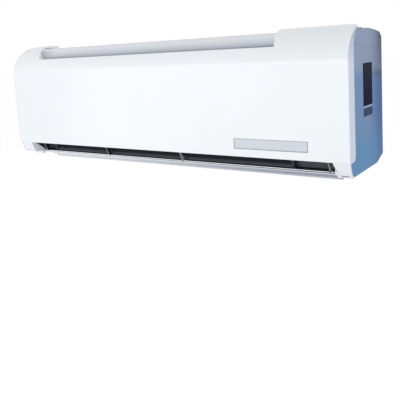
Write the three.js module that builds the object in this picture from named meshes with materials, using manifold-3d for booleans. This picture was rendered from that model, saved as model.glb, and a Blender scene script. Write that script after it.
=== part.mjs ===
// Indoor unit of a mini split air conditioner, modelled on its wall plate.
// Inside the unit's group a point is (x across, d behind the front plane, h above the front panel's
// lower edge). The exported group shifts that to the wall: origin at the centre of the plate's back.
import * as THREE from "three";
import { mergeVertices } from "three/addons/utils/BufferGeometryUtils.js";
import Module from "manifold-3d";

const wasm = await Module();
wasm.setup();

// Overall casing
const width = 845;
const halfWidth = width / 2;
const depth = 189;
const sillHeight = 27; // front panel's lower edge above the underside
const panelTop = 233; // panel's shoulder above its lower edge
const wall = 2.5; // moulded wall of the casing
const fit = 0.4; // clearance between neighbouring pieces
const seat = 0.3; // gap where one piece rests on another

// Front panel
const panelWall = 2.5;
const returnDepth = 26;
const cornerRadius = 10;
const crownStart = 172; // height where the front starts to curve back
const crownDepth = 76; // where the curve reaches the top
const beamSill = 200.7; // lower edge of the recess between the shoulders
const recessLeft = -halfWidth + 83.5;
const recessRight = halfWidth - 139.5;
const recessLeanLeft = 30;
const recessLeanRight = -11;
const panelHingeDepth = 99;
const panelBarrel = 4;
const panelPin = 2;
const earWidth = 4;

// Display and button
const windowLeft = halfWidth - 223.5;
const windowWidth = 148;
const windowSill = 15;
const windowHeight = 19;
const buttonX = windowLeft + 153;
const buttonRadius = 3.2;
const buttonHeight = 22;

// Casing behind the panel
const frameFront = returnDepth + 0.6;
const chamferRun = 39;
const chamferRise = 12;
const grilleFront = depth - 78;
const grilleRear = depth - 11;
const grilleHalf = halfWidth - 24.5;
const filterBar = -50; // centre of the bar between the two filters
const filterBarWidth = 8;
const filterEdgeLeft = -grilleHalf;
const filterEdgeRight = halfWidth - 128.5;
const filterSill = 20;
const filterHead = 186;

// Outlet and flap
const slotHalf = halfWidth - 37.5;
const flapHalf = slotHalf - 4;
const flapAxisDepth = 43;
const flapAxisHeight = -29;
const flapBead = 1.8;
const flapChord = 43;
const flapLip = 5;
const flapThick = 2;
const flapPin = 2.2;
const openAngle = -20;
const bossRadius = 6;
const bossEnd = halfWidth - 9.5;
const strutPlaces = [16 - slotHalf, 225 - slotHalf, slotHalf - 338, slotHalf - 15];
const strutWidth = 3;

// Fan and scroll
const fanDepth = depth - 69;
const fanHeight = 70;
const fanRadius = 46;
const fanLeft = -halfWidth + 89.5;
const fanRight = halfWidth - 131.5;
const bladeCount = 22;
const bladeWidth = 11;
const bladeThick = 1.5;
const discThick = 2;
const shaftRadius = 4;
const scrollStart = 40; // degrees above the rearward horizontal
const scrollSweep = 155;
const scrollGap = 4;
const scrollGrowth = 18;

// Chassis
const backDepth = depth - 10; // outside of the chassis' back wall
const bulkheadLeft = fanLeft - 9;
const bulkheadRight = fanRight + 8;
const bulkheadThick = 3;
const ductAngle = Math.atan2(31.4, 47); // slope of the duct's floor towards the outlet
const ductFloor = [91, 8.4]; // point where the floor leaves the scroll
const ductHeight = 34;
const blankDepth = 57;

// Evaporator
const finLeft = fanLeft - 17;
const finRight = fanRight + 15;
const finDepth = 20;
const finPitch = 36;
const finGroove = 3;
const sheetThick = 1.5;
const tubeRadius = 3;
const tubePitch = 25.4;
const tubeRowGap = 10;

// Vertical louvres
const louvreCount = 10;
const louvrePitch = (bulkheadRight - bulkheadLeft - 21) / 10;
const louvreFirst = bulkheadLeft + 40;
const louvreThick = 1.6;
const louvrePin = 1.5;
const linkArm = 10;

// Motor and control box
const motorRadius = fanRadius - 4;
const motorLeft = fanRight + 14;
const motorLength = 52;
const boxLeft = halfWidth - 95.5;
const boxRight = halfWidth - 8.5;
const boxFront = 34;
const boxRear = 62;
const boxSill = 56;
const boxHead = crownStart + 12;

// Mounting plate
const plateHalf = halfWidth - 92.5;
const plateHeight = 180;
const plateThick = 1.5;
const hookPlaces = [-plateHalf / 1.5, 0, plateHalf / 1.5];
const hookWidth = 40;

const degree = Math.PI / 180;
const plateCentre = panelTop - (panelTop + sillHeight) / 2;

// Colours read from the photo, with the hidden pieces in their usual ones.
const finish = (color, roughness, metalness = 0) =>
  new THREE.MeshStandardMaterial({ color, roughness, metalness });
const panelWhite = finish(0xf1f5f8, 0.25);
const frameBlue = finish(0x7d9ab8, 0.3);
const ductGrey = finish(0x2c2f38, 0.6);
const chassisGrey = finish(0xc9ccd0, 0.7);
const plainGrey = finish(0x9a9da2, 0.6);
const galvanised = finish(0xb4b8bb, 0.45, 0.9);
const aluminium = finish(0xc8ccd0, 0.4, 0.9);
const copper = finish(0xb8734a, 0.35, 0.95);
const brass = finish(0xc2a05a, 0.35, 0.95);
const steel = finish(0x8d9094, 0.35, 0.95);
const rubber = finish(0x1c1c1e, 0.9);
const fanBlack = finish(0x3a3d42, 0.6);
const boardGreen = finish(0x2f6b46, 0.5);
const lensGrey = finish(0xc8d0dc, 0.12);

// Closed geometry to a solid that can be joined and cut.
function solid(geometry) {
  const bare = geometry.index ? geometry.toNonIndexed() : geometry.clone();
  bare.deleteAttribute("normal");
  bare.deleteAttribute("uv");
  const merged = mergeVertices(bare, 1e-4);
  return new wasm.Manifold(
    new wasm.Mesh({
      numProp: 3,
      vertProperties: new Float32Array(merged.attributes.position.array),
      triVerts: new Uint32Array(merged.index.array),
    }),
  );
}

const join = (...parts) => parts.flat().reduce((all, next) => all.add(next));
const cut = (body, ...tools) => tools.flat().reduce((left, tool) => left.subtract(tool), body);

const unit = new THREE.Group();
unit.position.set(0, -depth, -plateCentre);

// One named piece of the object.
function piece(name, body, material) {
  const mesh = body.getMesh();
  const geometry = new THREE.BufferGeometry();
  geometry.setAttribute("position", new THREE.BufferAttribute(mesh.vertProperties, 3));
  geometry.setIndex(new THREE.BufferAttribute(mesh.triVerts, 1));
  geometry.computeVertexNormals();
  const made = new THREE.Mesh(geometry, material);
  made.name = name;
  unit.add(made);
  return made;
}

// A (d, h) outline extruded across the unit from x0 to x1.
function prism(outline, x0, x1) {
  const shape = new THREE.Shape(outline.map(([d, h]) => new THREE.Vector2(d, h)));
  const geometry = new THREE.ExtrudeGeometry(shape, { depth: x1 - x0, bevelEnabled: false });
  geometry.applyMatrix4(new THREE.Matrix4().set(0, 0, 1, x0, 1, 0, 0, 0, 0, 1, 0, 0, 0, 0, 0, 1));
  return solid(geometry);
}

// An (x, h) outline extruded backwards from d0 to d1.
function slab(outline, d0, d1) {
  const shape = new THREE.Shape(outline.map(([x, h]) => new THREE.Vector2(x, h)));
  const geometry = new THREE.ExtrudeGeometry(shape, { depth: d1 - d0, bevelEnabled: false });
  geometry.rotateX(Math.PI / 2);
  geometry.translate(0, d1, 0);
  return solid(geometry);
}

function block(x0, x1, d0, d1, h0, h1) {
  const geometry = new THREE.BoxGeometry(x1 - x0, d1 - d0, h1 - h0);
  geometry.translate((x0 + x1) / 2, (d0 + d1) / 2, (h0 + h1) / 2);
  return solid(geometry);
}

// A round bar across the unit.
function rod(x0, x1, d, h, radius, sides = 24) {
  const geometry = new THREE.CylinderGeometry(radius, radius, x1 - x0, sides);
  geometry.rotateZ(-Math.PI / 2);
  geometry.translate((x0 + x1) / 2, d, h);
  return solid(geometry);
}

// A round bar from front to back.
function post(x, d0, d1, h, radius, sides = 16) {
  const geometry = new THREE.CylinderGeometry(radius, radius, d1 - d0, sides);
  geometry.translate(x, (d0 + d1) / 2, h);
  return solid(geometry);
}

// A tube along points, closed at both ends.
function tube(points, radius, sides, steps) {
  const section = new THREE.Shape();
  for (let i = 0; i < sides; i++) {
    const turn = (2 * Math.PI * i) / sides;
    const [u, v] = [radius * Math.cos(turn), radius * Math.sin(turn)];
    if (i) section.lineTo(u, v);
    else section.moveTo(u, v);
  }
  section.closePath();
  const path = new THREE.CatmullRomCurve3(
    points.map((p) => new THREE.Vector3(...p)),
    false,
    "centripetal",
  );
  return solid(
    new THREE.ExtrudeGeometry(section, { steps, extrudePath: path, bevelEnabled: false }),
  );
}

const polar = (d, h, radius, angle) => [
  d + radius * Math.cos(angle * degree),
  h + radius * Math.sin(angle * degree),
];

function arc(d, h, radius, from, to, steps) {
  return Array.from({ length: steps + 1 }, (_, i) =>
    polar(d, h, radius, from + ((to - from) * i) / steps),
  );
}

// Moves an open path sideways by t, to the right of its direction of travel.
function beside(path, t) {
  return path.map(([d, h], i) => {
    const [a, b] = [path[Math.max(i - 1, 0)], path[Math.min(i + 1, path.length - 1)]];
    const length = Math.hypot(b[0] - a[0], b[1] - a[1]);
    return [d + (t * (b[1] - a[1])) / length, h - (t * (b[0] - a[0])) / length];
  });
}

// The front's profile: upright, then curving back over the top.
function crown(offset) {
  const curve = new THREE.CubicBezierCurve(
    new THREE.Vector2(0, crownStart),
    new THREE.Vector2(2, 200),
    new THREE.Vector2(38, panelTop),
    new THREE.Vector2(crownDepth, panelTop),
  );
  const path = curve.getPoints(9).map((p) => [p.x, p.y]);
  return beside([[0, 0], ...path, [panelHingeDepth, panelTop]], offset).slice(1);
}

// The side return's rear edge, which the casing behind follows.
function returnEdge(gap) {
  return [
    [50, 226.5 - gap],
    [39 + gap, 221.5 - gap],
    [31 + gap, 213 - gap],
    [27 + gap, 204 - gap],
    [returnDepth + gap, 195],
  ];
}

// Front panel with its side returns, shoulders, hinge barrels and window opening
const hingeHeight = panelTop - panelBarrel;
const panelOutline = [
  [0, 0],
  ...crown(0),
  ...arc(panelHingeDepth, hingeHeight, panelBarrel, 60, -90, 5),
  [80, hingeHeight - panelBarrel + 2],
  ...returnEdge(0),
  ...arc(returnDepth - cornerRadius, cornerRadius, cornerRadius, 0, -90, 5),
];

function frontPanel() {
  const inner = crown(panelWall);
  const hollow = [
    [panelWall, panelWall],
    [panelWall, crownStart],
    ...inner.slice(1),
    [panelHingeDepth, 150],
    [panelHingeDepth - 1, panelWall],
  ];
  const reach = halfWidth - panelWall;
  const top = panelTop + 10;
  const lean = (run) => (run * (top - beamSill)) / (panelTop - beamSill);
  const recess = [
    [recessLeft, beamSill],
    [recessRight, beamSill],
    [recessRight + lean(recessLeanRight), top],
    [recessLeft - lean(recessLeanLeft), top],
  ];
  const cheek = (x, run, side) => [
    [x, beamSill - 3],
    [x + lean(run), top],
    [x + lean(run) + side * panelWall, top],
    [x + side * panelWall, beamSill - 3],
  ];
  const whole = prism(panelOutline, -halfWidth, halfWidth);
  const cheeks = join(
    slab(cheek(recessLeft, -recessLeanLeft, -1), -1, panelHingeDepth + panelBarrel),
    slab(cheek(recessRight, recessLeanRight, 1), -1, panelHingeDepth + panelBarrel),
  );
  const barrels = join(
    rod(-halfWidth + 6, recessLeft - recessLeanLeft - 6, panelHingeDepth, hingeHeight, panelBarrel, 16),
    rod(recessRight + 6, halfWidth - 6, panelHingeDepth, hingeHeight, panelBarrel, 16),
  );
  const shell = cut(
    whole,
    prism(hollow, -reach, reach),
    block(-reach, reach, 9, returnDepth + 1, -1, panelWall + 1),
  );
  const opening = block(
    windowLeft - seat,
    windowLeft + windowWidth + seat,
    -1,
    panelWall + 1,
    windowSill - seat,
    windowSill + windowHeight + seat,
  );
  return cut(
    join(shell, cheeks.intersect(whole), barrels),
    slab(recess, -1, panelHingeDepth + panelBarrel + 1),
    opening,
    pinHole(-1),
    pinHole(1),
    earNotch(-1),
    earNotch(1),
  );
}

// Where the frame's ears stand, the panel's rear edge is cut away.
function earNotch(side) {
  const inner = side < 0 ? recessLeft - recessLeanLeft - 6 : recessRight + 6;
  const ends = [inner, inner - side * (earWidth + 2 * fit)];
  return block(Math.min(...ends), Math.max(...ends), panelHingeDepth - 6, panelHingeDepth + 6, 215, 240);
}

// Socket in the barrel's inner end for the frame's hinge pin.
function pinHole(side) {
  const inner = side < 0 ? recessLeft - recessLeanLeft - 6 : recessRight + 6;
  const ends = [inner - side * 2, inner + side * 8];
  return rod(Math.min(...ends), Math.max(...ends), panelHingeDepth, hingeHeight, panelPin + seat, 12);
}

function displayWindow() {
  return block(windowLeft, windowLeft + windowWidth, 0.2, panelWall, windowSill, windowSill + windowHeight);
}

// Casing: side outline of the frame, with the cheeks reaching forward under the panel
function frameOutline(inset) {
  const rear = depth - 0.5;
  return [
    [7 + inset, -0.6 - inset],
    [8 + inset, -7],
    [12.5 + inset, -19],
    [17 + inset, -24.5 + inset / 2],
    [24 + inset / 2, -sillHeight + inset],
    [rear - chamferRun, -sillHeight + inset],
    [rear - inset, -sillHeight + chamferRise + inset],
    [rear - inset, 210 - inset],
    [181, 215.5 - inset],
    [175, 219 - inset],
    [146, 222.6 - inset],
    [105 + panelBarrel, 225.4 - inset],
    [104.5, hingeHeight - panelBarrel - seat - inset],
    [80, hingeHeight - panelBarrel - seat - inset],
    [70, hingeHeight - panelBarrel - seat + 1.2 - inset],
    ...returnEdge(0.6 + inset),
    ...arc(
      returnDepth - cornerRadius,
      cornerRadius,
      cornerRadius + 0.6 + inset,
      0,
      -90,
      5,
    ),
  ];
}

function frontFrame() {
  const reach = halfWidth - wall;
  const shell = cut(
    prism(frameOutline(0), -halfWidth, halfWidth),
    prism(frameOutline(wall), -reach, reach),
    block(-reach, reach, 150, depth, -12, 207),
  );
  const barLeft = filterBar - filterBarWidth / 2;
  const barRight = filterBar + filterBarWidth / 2;
  const windows = [
    block(filterEdgeLeft, barLeft, frameFront - 2, frameFront + wall + 1, filterSill, filterHead),
    block(barRight, filterEdgeRight, frameFront - 2, frameFront + wall + 1, filterSill, filterHead),
    block(boxLeft + 4, boxRight - 8, frameFront - 2, frameFront + wall + 1, boxSill, boxHead - 10),
  ];
  const grille = block(-grilleHalf, grilleHalf, grilleFront, grilleRear, 205, 240);
  const slot = block(-slotHalf, slotHalf, -1, 47, -40, -0.6);
  const open = cut(shell, windows, grille, slot);
  const inner = [
    [7, -0.6],
    [8, -7],
    [12.5, -19],
    [17, -24.5],
    [24, -sillHeight + 0.5],
    [66, -sillHeight + 0.5],
    [66, -sillHeight + wall],
    [47, -sillHeight + wall],
    [32, -0.6],
    [29, 4],
    [27, 4],
    [25, -0.6],
  ];
  const ends = [-1, 1].flatMap((side) => {
    const x = [side * slotHalf, side * (slotHalf + wall)].sort((a, b) => a - b);
    const boss = [side * slotHalf, side * bossEnd].sort((a, b) => a - b);
    return [prism(inner, ...x), rod(...boss, flapAxisDepth, flapAxisHeight, bossRadius, 20)];
  });
  const struts = strutPlaces.map((x) => strut(x));
  return cut(join(open, ends, struts, hingePins()), flapSockets(), motorPocket(), capSockets());
}

// Post in the slot that holds the middle of the flap's bead up.
function strut(x) {
  const outline = [
    [27, -0.5],
    [27, 4],
    [29, 4],
    [29, -0.2],
    [34, -4],
    [flapAxisDepth + 3, -21],
    [flapAxisDepth + 3, flapAxisHeight + flapBead + fit],
    [flapAxisDepth - 1, flapAxisHeight + flapBead + fit],
    [flapAxisDepth - 5, -20],
  ];
  return prism(outline, x - strutWidth / 2, x + strutWidth / 2);
}

// Ears on the frame's top with the pins that the panel hangs on.
function hingePins() {
  const low = hingeHeight - panelBarrel - seat - wall;
  return [-1, 1].map((side) => {
    const inner = side < 0 ? recessLeft - recessLeanLeft - 6 : recessRight + 6;
    const near = inner - side * fit;
    const far = near - side * earWidth;
    const ear = [
      [panelHingeDepth - 5, low],
      [panelHingeDepth - 3, hingeHeight + 1.2],
      [panelHingeDepth + 3, hingeHeight + 1.2],
      [panelHingeDepth + 5, low],
    ];
    const pin = [far, near + side * 7].sort((a, b) => a - b);
    return join(
      prism(ear, Math.min(near, far), Math.max(near, far)),
      rod(...pin, panelHingeDepth, hingeHeight, panelPin, 12),
    );
  });
}

const flapSockets = () =>
  [-1, 1].map((side) => {
    const x = [side * (slotHalf - 1), side * (slotHalf + 7)].sort((a, b) => a - b);
    return rod(...x, flapAxisDepth, flapAxisHeight, flapPin + seat, 16);
  });

// Flap motor: a small stepper whose shaft sits off centre, low in the right cheek
const stepperRadius = 10;
const stepperOffset = 6;
const stepperLeft = slotHalf + 8;
const stepperLength = 13;

const motorPocket = () =>
  rod(
    stepperLeft - seat,
    stepperLeft + stepperLength + seat,
    flapAxisDepth,
    flapAxisHeight + stepperOffset,
    stepperRadius + seat,
  );

function flapMotor() {
  const height = flapAxisHeight + stepperOffset;
  return join(
    rod(stepperLeft, stepperLeft + stepperLength, flapAxisDepth, height, stepperRadius),
    block(stepperLeft, stepperLeft + 1, flapAxisDepth - 14, flapAxisDepth + 14, height - 1, height + 3),
    block(stepperLeft + 3, stepperLeft + 10, flapAxisDepth + 4, flapAxisDepth + 13, height + 4, height + 9),
  );
}

// Screw caps on the underside, over the frame's fixing screws
const capPlaces = [-halfWidth + 92.5, 0, halfWidth - 92.5];
const capDepth = depth - 89;
const capRadius = 6;

const capSockets = () =>
  capPlaces.map((x) => {
    const geometry = new THREE.CylinderGeometry(capRadius + seat, capRadius + seat, wall + 2, 16);
    geometry.rotateX(Math.PI / 2);
    geometry.translate(x, capDepth, -sillHeight + wall / 2);
    return solid(geometry);
  });

function screwCap(x) {
  const profile = [
    [0, 0],
    [capRadius - 1, 0],
    [capRadius, 0.8],
    [capRadius, wall - seat],
    [0, wall - seat],
  ];
  const geometry = new THREE.LatheGeometry(
    profile.map(([r, z]) => new THREE.Vector2(r, z)),
    16,
  );
  geometry.rotateX(Math.PI / 2);
  geometry.translate(x, capDepth, -sillHeight);
  return solid(geometry);
}

// Outlet flap: bead on the pivot line, plate, and the lip along its free edge
function outletFlap() {
  const along = [Math.cos(openAngle * degree), Math.sin(openAngle * degree)];
  const inner = [along[1], -along[0]]; // the side that faces the duct when shut
  const at = (u, v) => [
    flapAxisDepth + u * along[0] + v * inner[0],
    flapAxisHeight + u * along[1] + v * inner[1],
  ];
  const section = [
    at(0, -flapThick / 2),
    at(flapChord / 2, -flapThick / 2 - 1),
    at(flapChord - 2, -flapThick / 2),
    at(flapChord, flapThick / 2),
    at(flapChord - 0.5, flapLip),
    at(flapChord - 2, flapLip),
    at(flapChord - 3, flapThick / 2),
    at(flapChord / 2, flapThick / 2 - 1),
    at(0, flapThick / 2),
  ];
  const bead = rod(-flapHalf, flapHalf, flapAxisDepth, flapAxisHeight, flapBead, 12);
  const pins = rod(
    -slotHalf - 6.5,
    slotHalf + 6.5,
    flapAxisDepth,
    flapAxisHeight,
    flapPin,
    12,
  );
  const middle = rod(-flapHalf + 6, flapHalf - 6, flapAxisDepth, flapAxisHeight, flapPin + 1, 12);
  return join(cut(pins, middle), prism(section, -flapHalf, flapHalf), bead);
}

// Top inlet grille: a thin plate to the casing's top profile, pierced by rows of slots
const slotRows = 2;
const slotColumns = 26;
const grilleBar = 4.5;
const grilleEdge = 8;

function topGrille() {
  const front = grilleFront + fit;
  const rear = grilleRear - fit;
  const top = [
    [front, 225.2],
    [146, 222.6],
    [175, 219],
    [rear, 217.5],
  ];
  const under = top.map(([d, h]) => [d, h - 4]).reverse();
  const half = grilleHalf - fit;
  const plate = prism([...top, ...under], -half, half);
  const columnPitch = (2 * half - 2 * grilleEdge + grilleBar) / slotColumns;
  const rowPitch = (rear - front - 2 * grilleEdge + grilleBar) / slotRows;
  const slots = [];
  for (let row = 0; row < slotRows; row++)
    for (let column = 0; column < slotColumns; column++) {
      const x = -half + grilleEdge + column * columnPitch;
      const d = front + grilleEdge + row * rowPitch;
      slots.push(block(x, x + columnPitch - grilleBar, d, d + rowPitch - grilleBar, 200, 240));
    }
  return cut(plate, wasm.Manifold.union(slots));
}

// Air filter: a bent frame with ribs over a thin net
const filterDepth = frameFront + wall + seat;
const filterThick = 2.4;
const netThick = 0.8;
const filterFoot = 15;

function filterPath() {
  const curve = new THREE.CubicBezierCurve(
    new THREE.Vector2(filterDepth, 160),
    new THREE.Vector2(filterDepth, 186),
    new THREE.Vector2(56, 204),
    new THREE.Vector2(82, 206),
  );
  return [
    [filterDepth, filterFoot],
    ...curve.getPoints(5).map((p) => [p.x, p.y]),
    [150, 207],
  ];
}

function airFilter(x0, x1) {
  const path = filterPath();
  const band = (from, to, a, b) =>
    prism([...beside(path, from), ...beside(path, to).reverse()], a, b);
  const rim = 9;
  const rib = 3;
  const columns = 5;
  const frame = band(0, filterThick, x0, x1);
  const pitch = (x1 - x0 - 2 * rim + rib) / columns;
  const cells = [];
  const rows = [
    [24, 66],
    [69, 111],
    [114, 152],
  ];
  for (let column = 0; column < columns; column++) {
    const x = x0 + rim + column * pitch;
    const right = x + pitch - rib;
    for (const [low, high] of rows)
      cells.push(block(x, right, filterDepth + netThick, filterDepth + 9, low, high));
    cells.push(block(x, right, 86, 142, 190, 207 - netThick - 0.9));
  }
  return cut(frame, wasm.Manifold.union(cells));
}

// Rear chassis: scroll and duct floor in one moulding, bulkheads, back wall and motor cradle
function scrollPath(spread = 0) {
  const steps = 14;
  return Array.from({ length: steps + 1 }, (_, i) => {
    const share = i / steps;
    const radius = fanRadius + scrollGap + spread + scrollGrowth * share * share;
    return polar(fanDepth, fanHeight, radius, scrollStart - scrollSweep * share);
  });
}

const floorPoint = (d) => [d, ductFloor[1] - (ductFloor[0] - d) * Math.tan(ductAngle)];
const chassisLow = -sillHeight + wall + seat;
const chassisHalf = halfWidth - wall - fit;
const ductLip = flapAxisDepth + 5;
const chassisHeel = -sillHeight + chamferRise + 1; // rear end of the chamfer, clear of the casing

function rearChassis() {
  const foot = depth - 0.5 - chamferRun;
  const inner = [
    [backDepth - wall, 207],
    [backDepth - wall, 112],
    [backDepth - 9, 106],
    [backDepth - 19, 104.5],
    ...scrollPath(),
    floorPoint(ductLip + 2),
    [ductLip, chassisLow + 1.5],
  ];
  const outer = [
    [ductLip, chassisLow],
    [foot - 1, chassisLow],
    [backDepth, chassisHeel],
    [backDepth, 207],
  ];
  const scroll = prism([...inner, ...outer], bulkheadLeft, bulkheadRight);
  const ends = [
    [-chassisHalf, bulkheadLeft + 1],
    [bulkheadRight - 1, chassisHalf],
  ].map(([a, b]) =>
    join(
      block(a, b, backDepth - wall, backDepth, chassisHeel, 207),
      prism(
        [
          [ductLip + 20, chassisLow],
          [foot - 1, chassisLow],
          [backDepth, chassisHeel],
          [backDepth, chassisHeel + 4],
          [foot - 2, chassisLow + wall],
          [ductLip + 20, chassisLow + wall],
        ],
        a,
        b,
      ),
    ),
  );
  const rims = cut(
    block(-chassisHalf, chassisHalf, backDepth - 1, depth - 0.5, -11.5, 207),
    block(-chassisHalf + 3, chassisHalf - 3, backDepth - 2, depth, -9, 204),
  );
  return cut(
    join(scroll, ends, rims, bulkheads(), blankingWalls(), cradle()),
    pipeChannel(),
    undersidePockets(),
    hookSlots(),
    louvreSockets(),
    bearingSeat(),
  );
}

// Plates that close the fan's space at both ends, shaped round the fin packs.
function bulkheads() {
  const outline = [
    [ductLip, chassisLow],
    [ductLip + 6, chassisLow],
    floorPoint(ductFloor[0] - 4).map((value) => value - 1),
    ...scrollPath(1).reverse(),
    [backDepth - 19.2, 104.2],
    [backDepth - 32, 113],
    [107.5, 181],
    [105, 181],
    [64, 113],
    [64, 52],
    [76, 52],
    [75.4, 48],
    [73, 34.6],
    [34, 8.6],
  ];
  return [bulkheadLeft, bulkheadRight - bulkheadThick].map((x) =>
    prism(outline, x, x + bulkheadThick),
  );
}

// Walls that close the duct beside the bulkheads and line the slot's ends.
function blankingWalls() {
  const roof = (d) => floorPoint(d)[1] + ductHeight / Math.cos(ductAngle) - fit;
  const blank = (a, b) =>
    block(a, b, blankDepth, blankDepth + wall, chassisLow, roof(blankDepth) - 0.3);
  const liner = [
    [ductLip + 0.5, chassisLow],
    [blankDepth + wall, chassisLow],
    [blankDepth + wall, roof(blankDepth) - 0.3],
    [blankDepth - 1, roof(blankDepth - 1) - 0.6],
    [35, 8.6],
  ];
  const end = slotHalf - fit;
  return [
    blank(-end, bulkheadLeft + 1),
    blank(bulkheadRight - 1, end),
    prism(liner, -end, -end + wall),
    prism(liner, end - wall, end),
    block(-end, bulkheadLeft + 1, blankDepth, ductLip + 22, chassisLow, chassisLow + wall),
    block(bulkheadRight - 1, end, blankDepth, ductLip + 22, chassisLow, chassisLow + wall),
  ];
}

// Saddle that carries the fan motor.
const cradleLeft = motorLeft + 17;
const cradleWidth = 14;
const cradleTop = fanHeight - 3.4;

function cradle() {
  const outline = [
    [78, chassisLow],
    [backDepth - 1, chassisLow + 12],
    [backDepth - 1, cradleTop],
    [65, cradleTop],
    [65, cradleTop - 8],
    [78, cradleTop - 12],
  ];
  return cut(
    prism(outline, cradleLeft, cradleLeft + cradleWidth),
    rod(cradleLeft - 1, cradleLeft + cradleWidth + 1, fanDepth, fanHeight, motorRadius + seat, 32),
  );
}

const channelFront = depth - 28;
const pipeChannel = () =>
  block(-chassisHalf + 16, chassisHalf - 16, channelFront, depth + 1, -9.5, 19);

function undersidePockets() {
  const outline = [
    [68, chassisLow - 1],
    [68, -12],
    [91, 2.5],
    [118, 1],
    [143, 9],
    [143, chassisLow - 1],
  ];
  const count = 7;
  const rib = 5;
  const pitch = (bulkheadRight - bulkheadLeft - 4 * rib) / count;
  return Array.from({ length: count }, (_, i) => {
    const x = bulkheadLeft + 2 * rib + i * pitch;
    return prism(outline, x, x + pitch - rib);
  });
}

const hookHeight = plateCentre + plateHeight / 2 - 9;
const hookRise = 9;
const hookThick = 2.5;

const hookSlots = () =>
  hookPlaces.map((x) =>
    block(
      x - hookWidth / 2 - 1,
      x + hookWidth / 2 + 1,
      backDepth - wall - 1,
      backDepth + 1,
      hookHeight - 10,
      hookHeight + seat,
    ),
  );

const bearingRadius = 13;

const bearingSeat = () => [
  rod(bulkheadLeft - 2, bulkheadLeft + bulkheadThick + 2, fanDepth, fanHeight, bearingRadius + seat),
  rod(bulkheadRight - 6, bulkheadRight + 2, fanDepth, fanHeight, shaftRadius + 3),
];

// Cross-flow fan: discs joined by a ring of curved blades
function crossFlowFan() {
  const pitchRadius = fanRadius - bladeWidth / 2 - 0.5;
  const blade = [];
  const bow = 1.8;
  for (const [side, order] of [
    [-1, [0, 1, 2]],
    [1, [2, 1, 0]],
  ])
    for (const step of order) {
      const share = step / 2 - 0.5;
      const rise = bow * (1 - 4 * share * share);
      const thick = bladeThick * (1 - 1.4 * share * share);
      blade.push([share * bladeWidth, rise + (side * thick) / 2]);
    }
  const tilt = 64 * degree;
  const blades = Array.from({ length: bladeCount }, (_, i) => {
    const turn = (2 * Math.PI * i) / bladeCount;
    const outline = blade.map(([u, v]) => {
      const radial = u * Math.sin(tilt) - v * Math.cos(tilt);
      const tangent = u * Math.cos(tilt) + v * Math.sin(tilt);
      const [a, b] = [pitchRadius + radial, tangent];
      return [
        fanDepth + a * Math.cos(turn) - b * Math.sin(turn),
        fanHeight + a * Math.sin(turn) + b * Math.cos(turn),
      ];
    });
    return prism(outline, fanLeft + 0.5, fanRight - 0.5);
  });
  const disc = (x, bore) => {
    const whole = rod(x, x + discThick, fanDepth, fanHeight, fanRadius, 36);
    return bore ? cut(whole, rod(x - 1, x + discThick + 1, fanDepth, fanHeight, bore, 24)) : whole;
  };
  const inner = fanRadius - bladeWidth - 2;
  const middle = fanLeft + (fanRight - fanLeft) / 2;
  const discs = [
    disc(fanLeft, 0),
    disc((fanLeft + middle) / 2, inner),
    disc(middle, inner),
    disc((fanRight + middle) / 2, inner),
    disc(fanRight - discThick, 0),
  ];
  const hub = rod(fanRight - 24, fanRight - 1, fanDepth, fanHeight, 11, 20);
  const rotor = join(wasm.Manifold.union(blades), discs, hub);
  return cut(
    rotor,
    rod(fanRight - 20, fanRight + 1, fanDepth, fanHeight, shaftRadius + seat, 16),
    rod(fanLeft - 1, fanLeft + discThick - 0.8, fanDepth, fanHeight, shaftRadius + seat, 16),
  );
}

const stubShaft = () =>
  rod(bulkheadLeft - 5, fanLeft + discThick - 0.8 - seat, fanDepth, fanHeight, shaftRadius, 16);

// Rubber-mounted bearing in the left bulkhead.
function fanBearing() {
  return cut(
    join(
      rod(bulkheadLeft - 4, bulkheadLeft + bulkheadThick + 3, fanDepth, fanHeight, bearingRadius),
      rod(bulkheadLeft - 4, bulkheadLeft - seat, fanDepth, fanHeight, bearingRadius + 3),
    ),
    rod(bulkheadLeft - 6, fanLeft, fanDepth, fanHeight, shaftRadius + seat, 16),
  );
}

const motorShaft = () =>
  rod(fanRight - 19.5, motorLeft + motorLength - 5, fanDepth, fanHeight, shaftRadius, 16);

function fanMotor() {
  const steps = [
    [0, 16],
    [5, 16],
    [5, motorRadius - 4],
    [9, motorRadius],
    [motorLength - 14, motorRadius],
    [motorLength - 10, motorRadius - 4],
    [motorLength - 10, 18],
    [motorLength, 16],
  ];
  const outline = [[0, 0], ...steps.map(([x, r]) => [x, r]), [motorLength, 0]];
  const geometry = new THREE.LatheGeometry(
    outline.map(([x, r]) => new THREE.Vector2(r, x)),
    24,
  );
  geometry.rotateZ(-Math.PI / 2);
  geometry.translate(motorLeft, fanDepth, fanHeight);
  return cut(
    solid(geometry),
    rod(motorLeft - 1, motorLeft + motorLength - 4.5, fanDepth, fanHeight, shaftRadius + seat, 16),
  );
}

// Strap over the motor, screwed to the cradle's shoulders.
function motorClamp() {
  const inside = motorRadius + seat;
  const outside = inside + 3;
  const foot = cradleTop + seat;
  const band = [
    ...arc(fanDepth, fanHeight, outside, 175, 5, 14),
    [fanDepth + outside + 9, foot + 3],
    [fanDepth + outside + 9, foot],
    [fanDepth + inside + 0.2, foot],
    ...arc(fanDepth, fanHeight, inside, 4, 176, 14),
    [fanDepth - inside - 0.2, foot],
    [fanDepth - outside - 8, foot],
    [fanDepth - outside - 8, foot + 3],
  ];
  return prism(band, cradleLeft, cradleLeft + cradleWidth);
}

// Drain tray under the front fin pack; its underside is the duct's roof
const trayFloor = 34;
const trayHalf = slotHalf - 3.4;
const spoutX = -halfWidth + 50.5;

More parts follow.
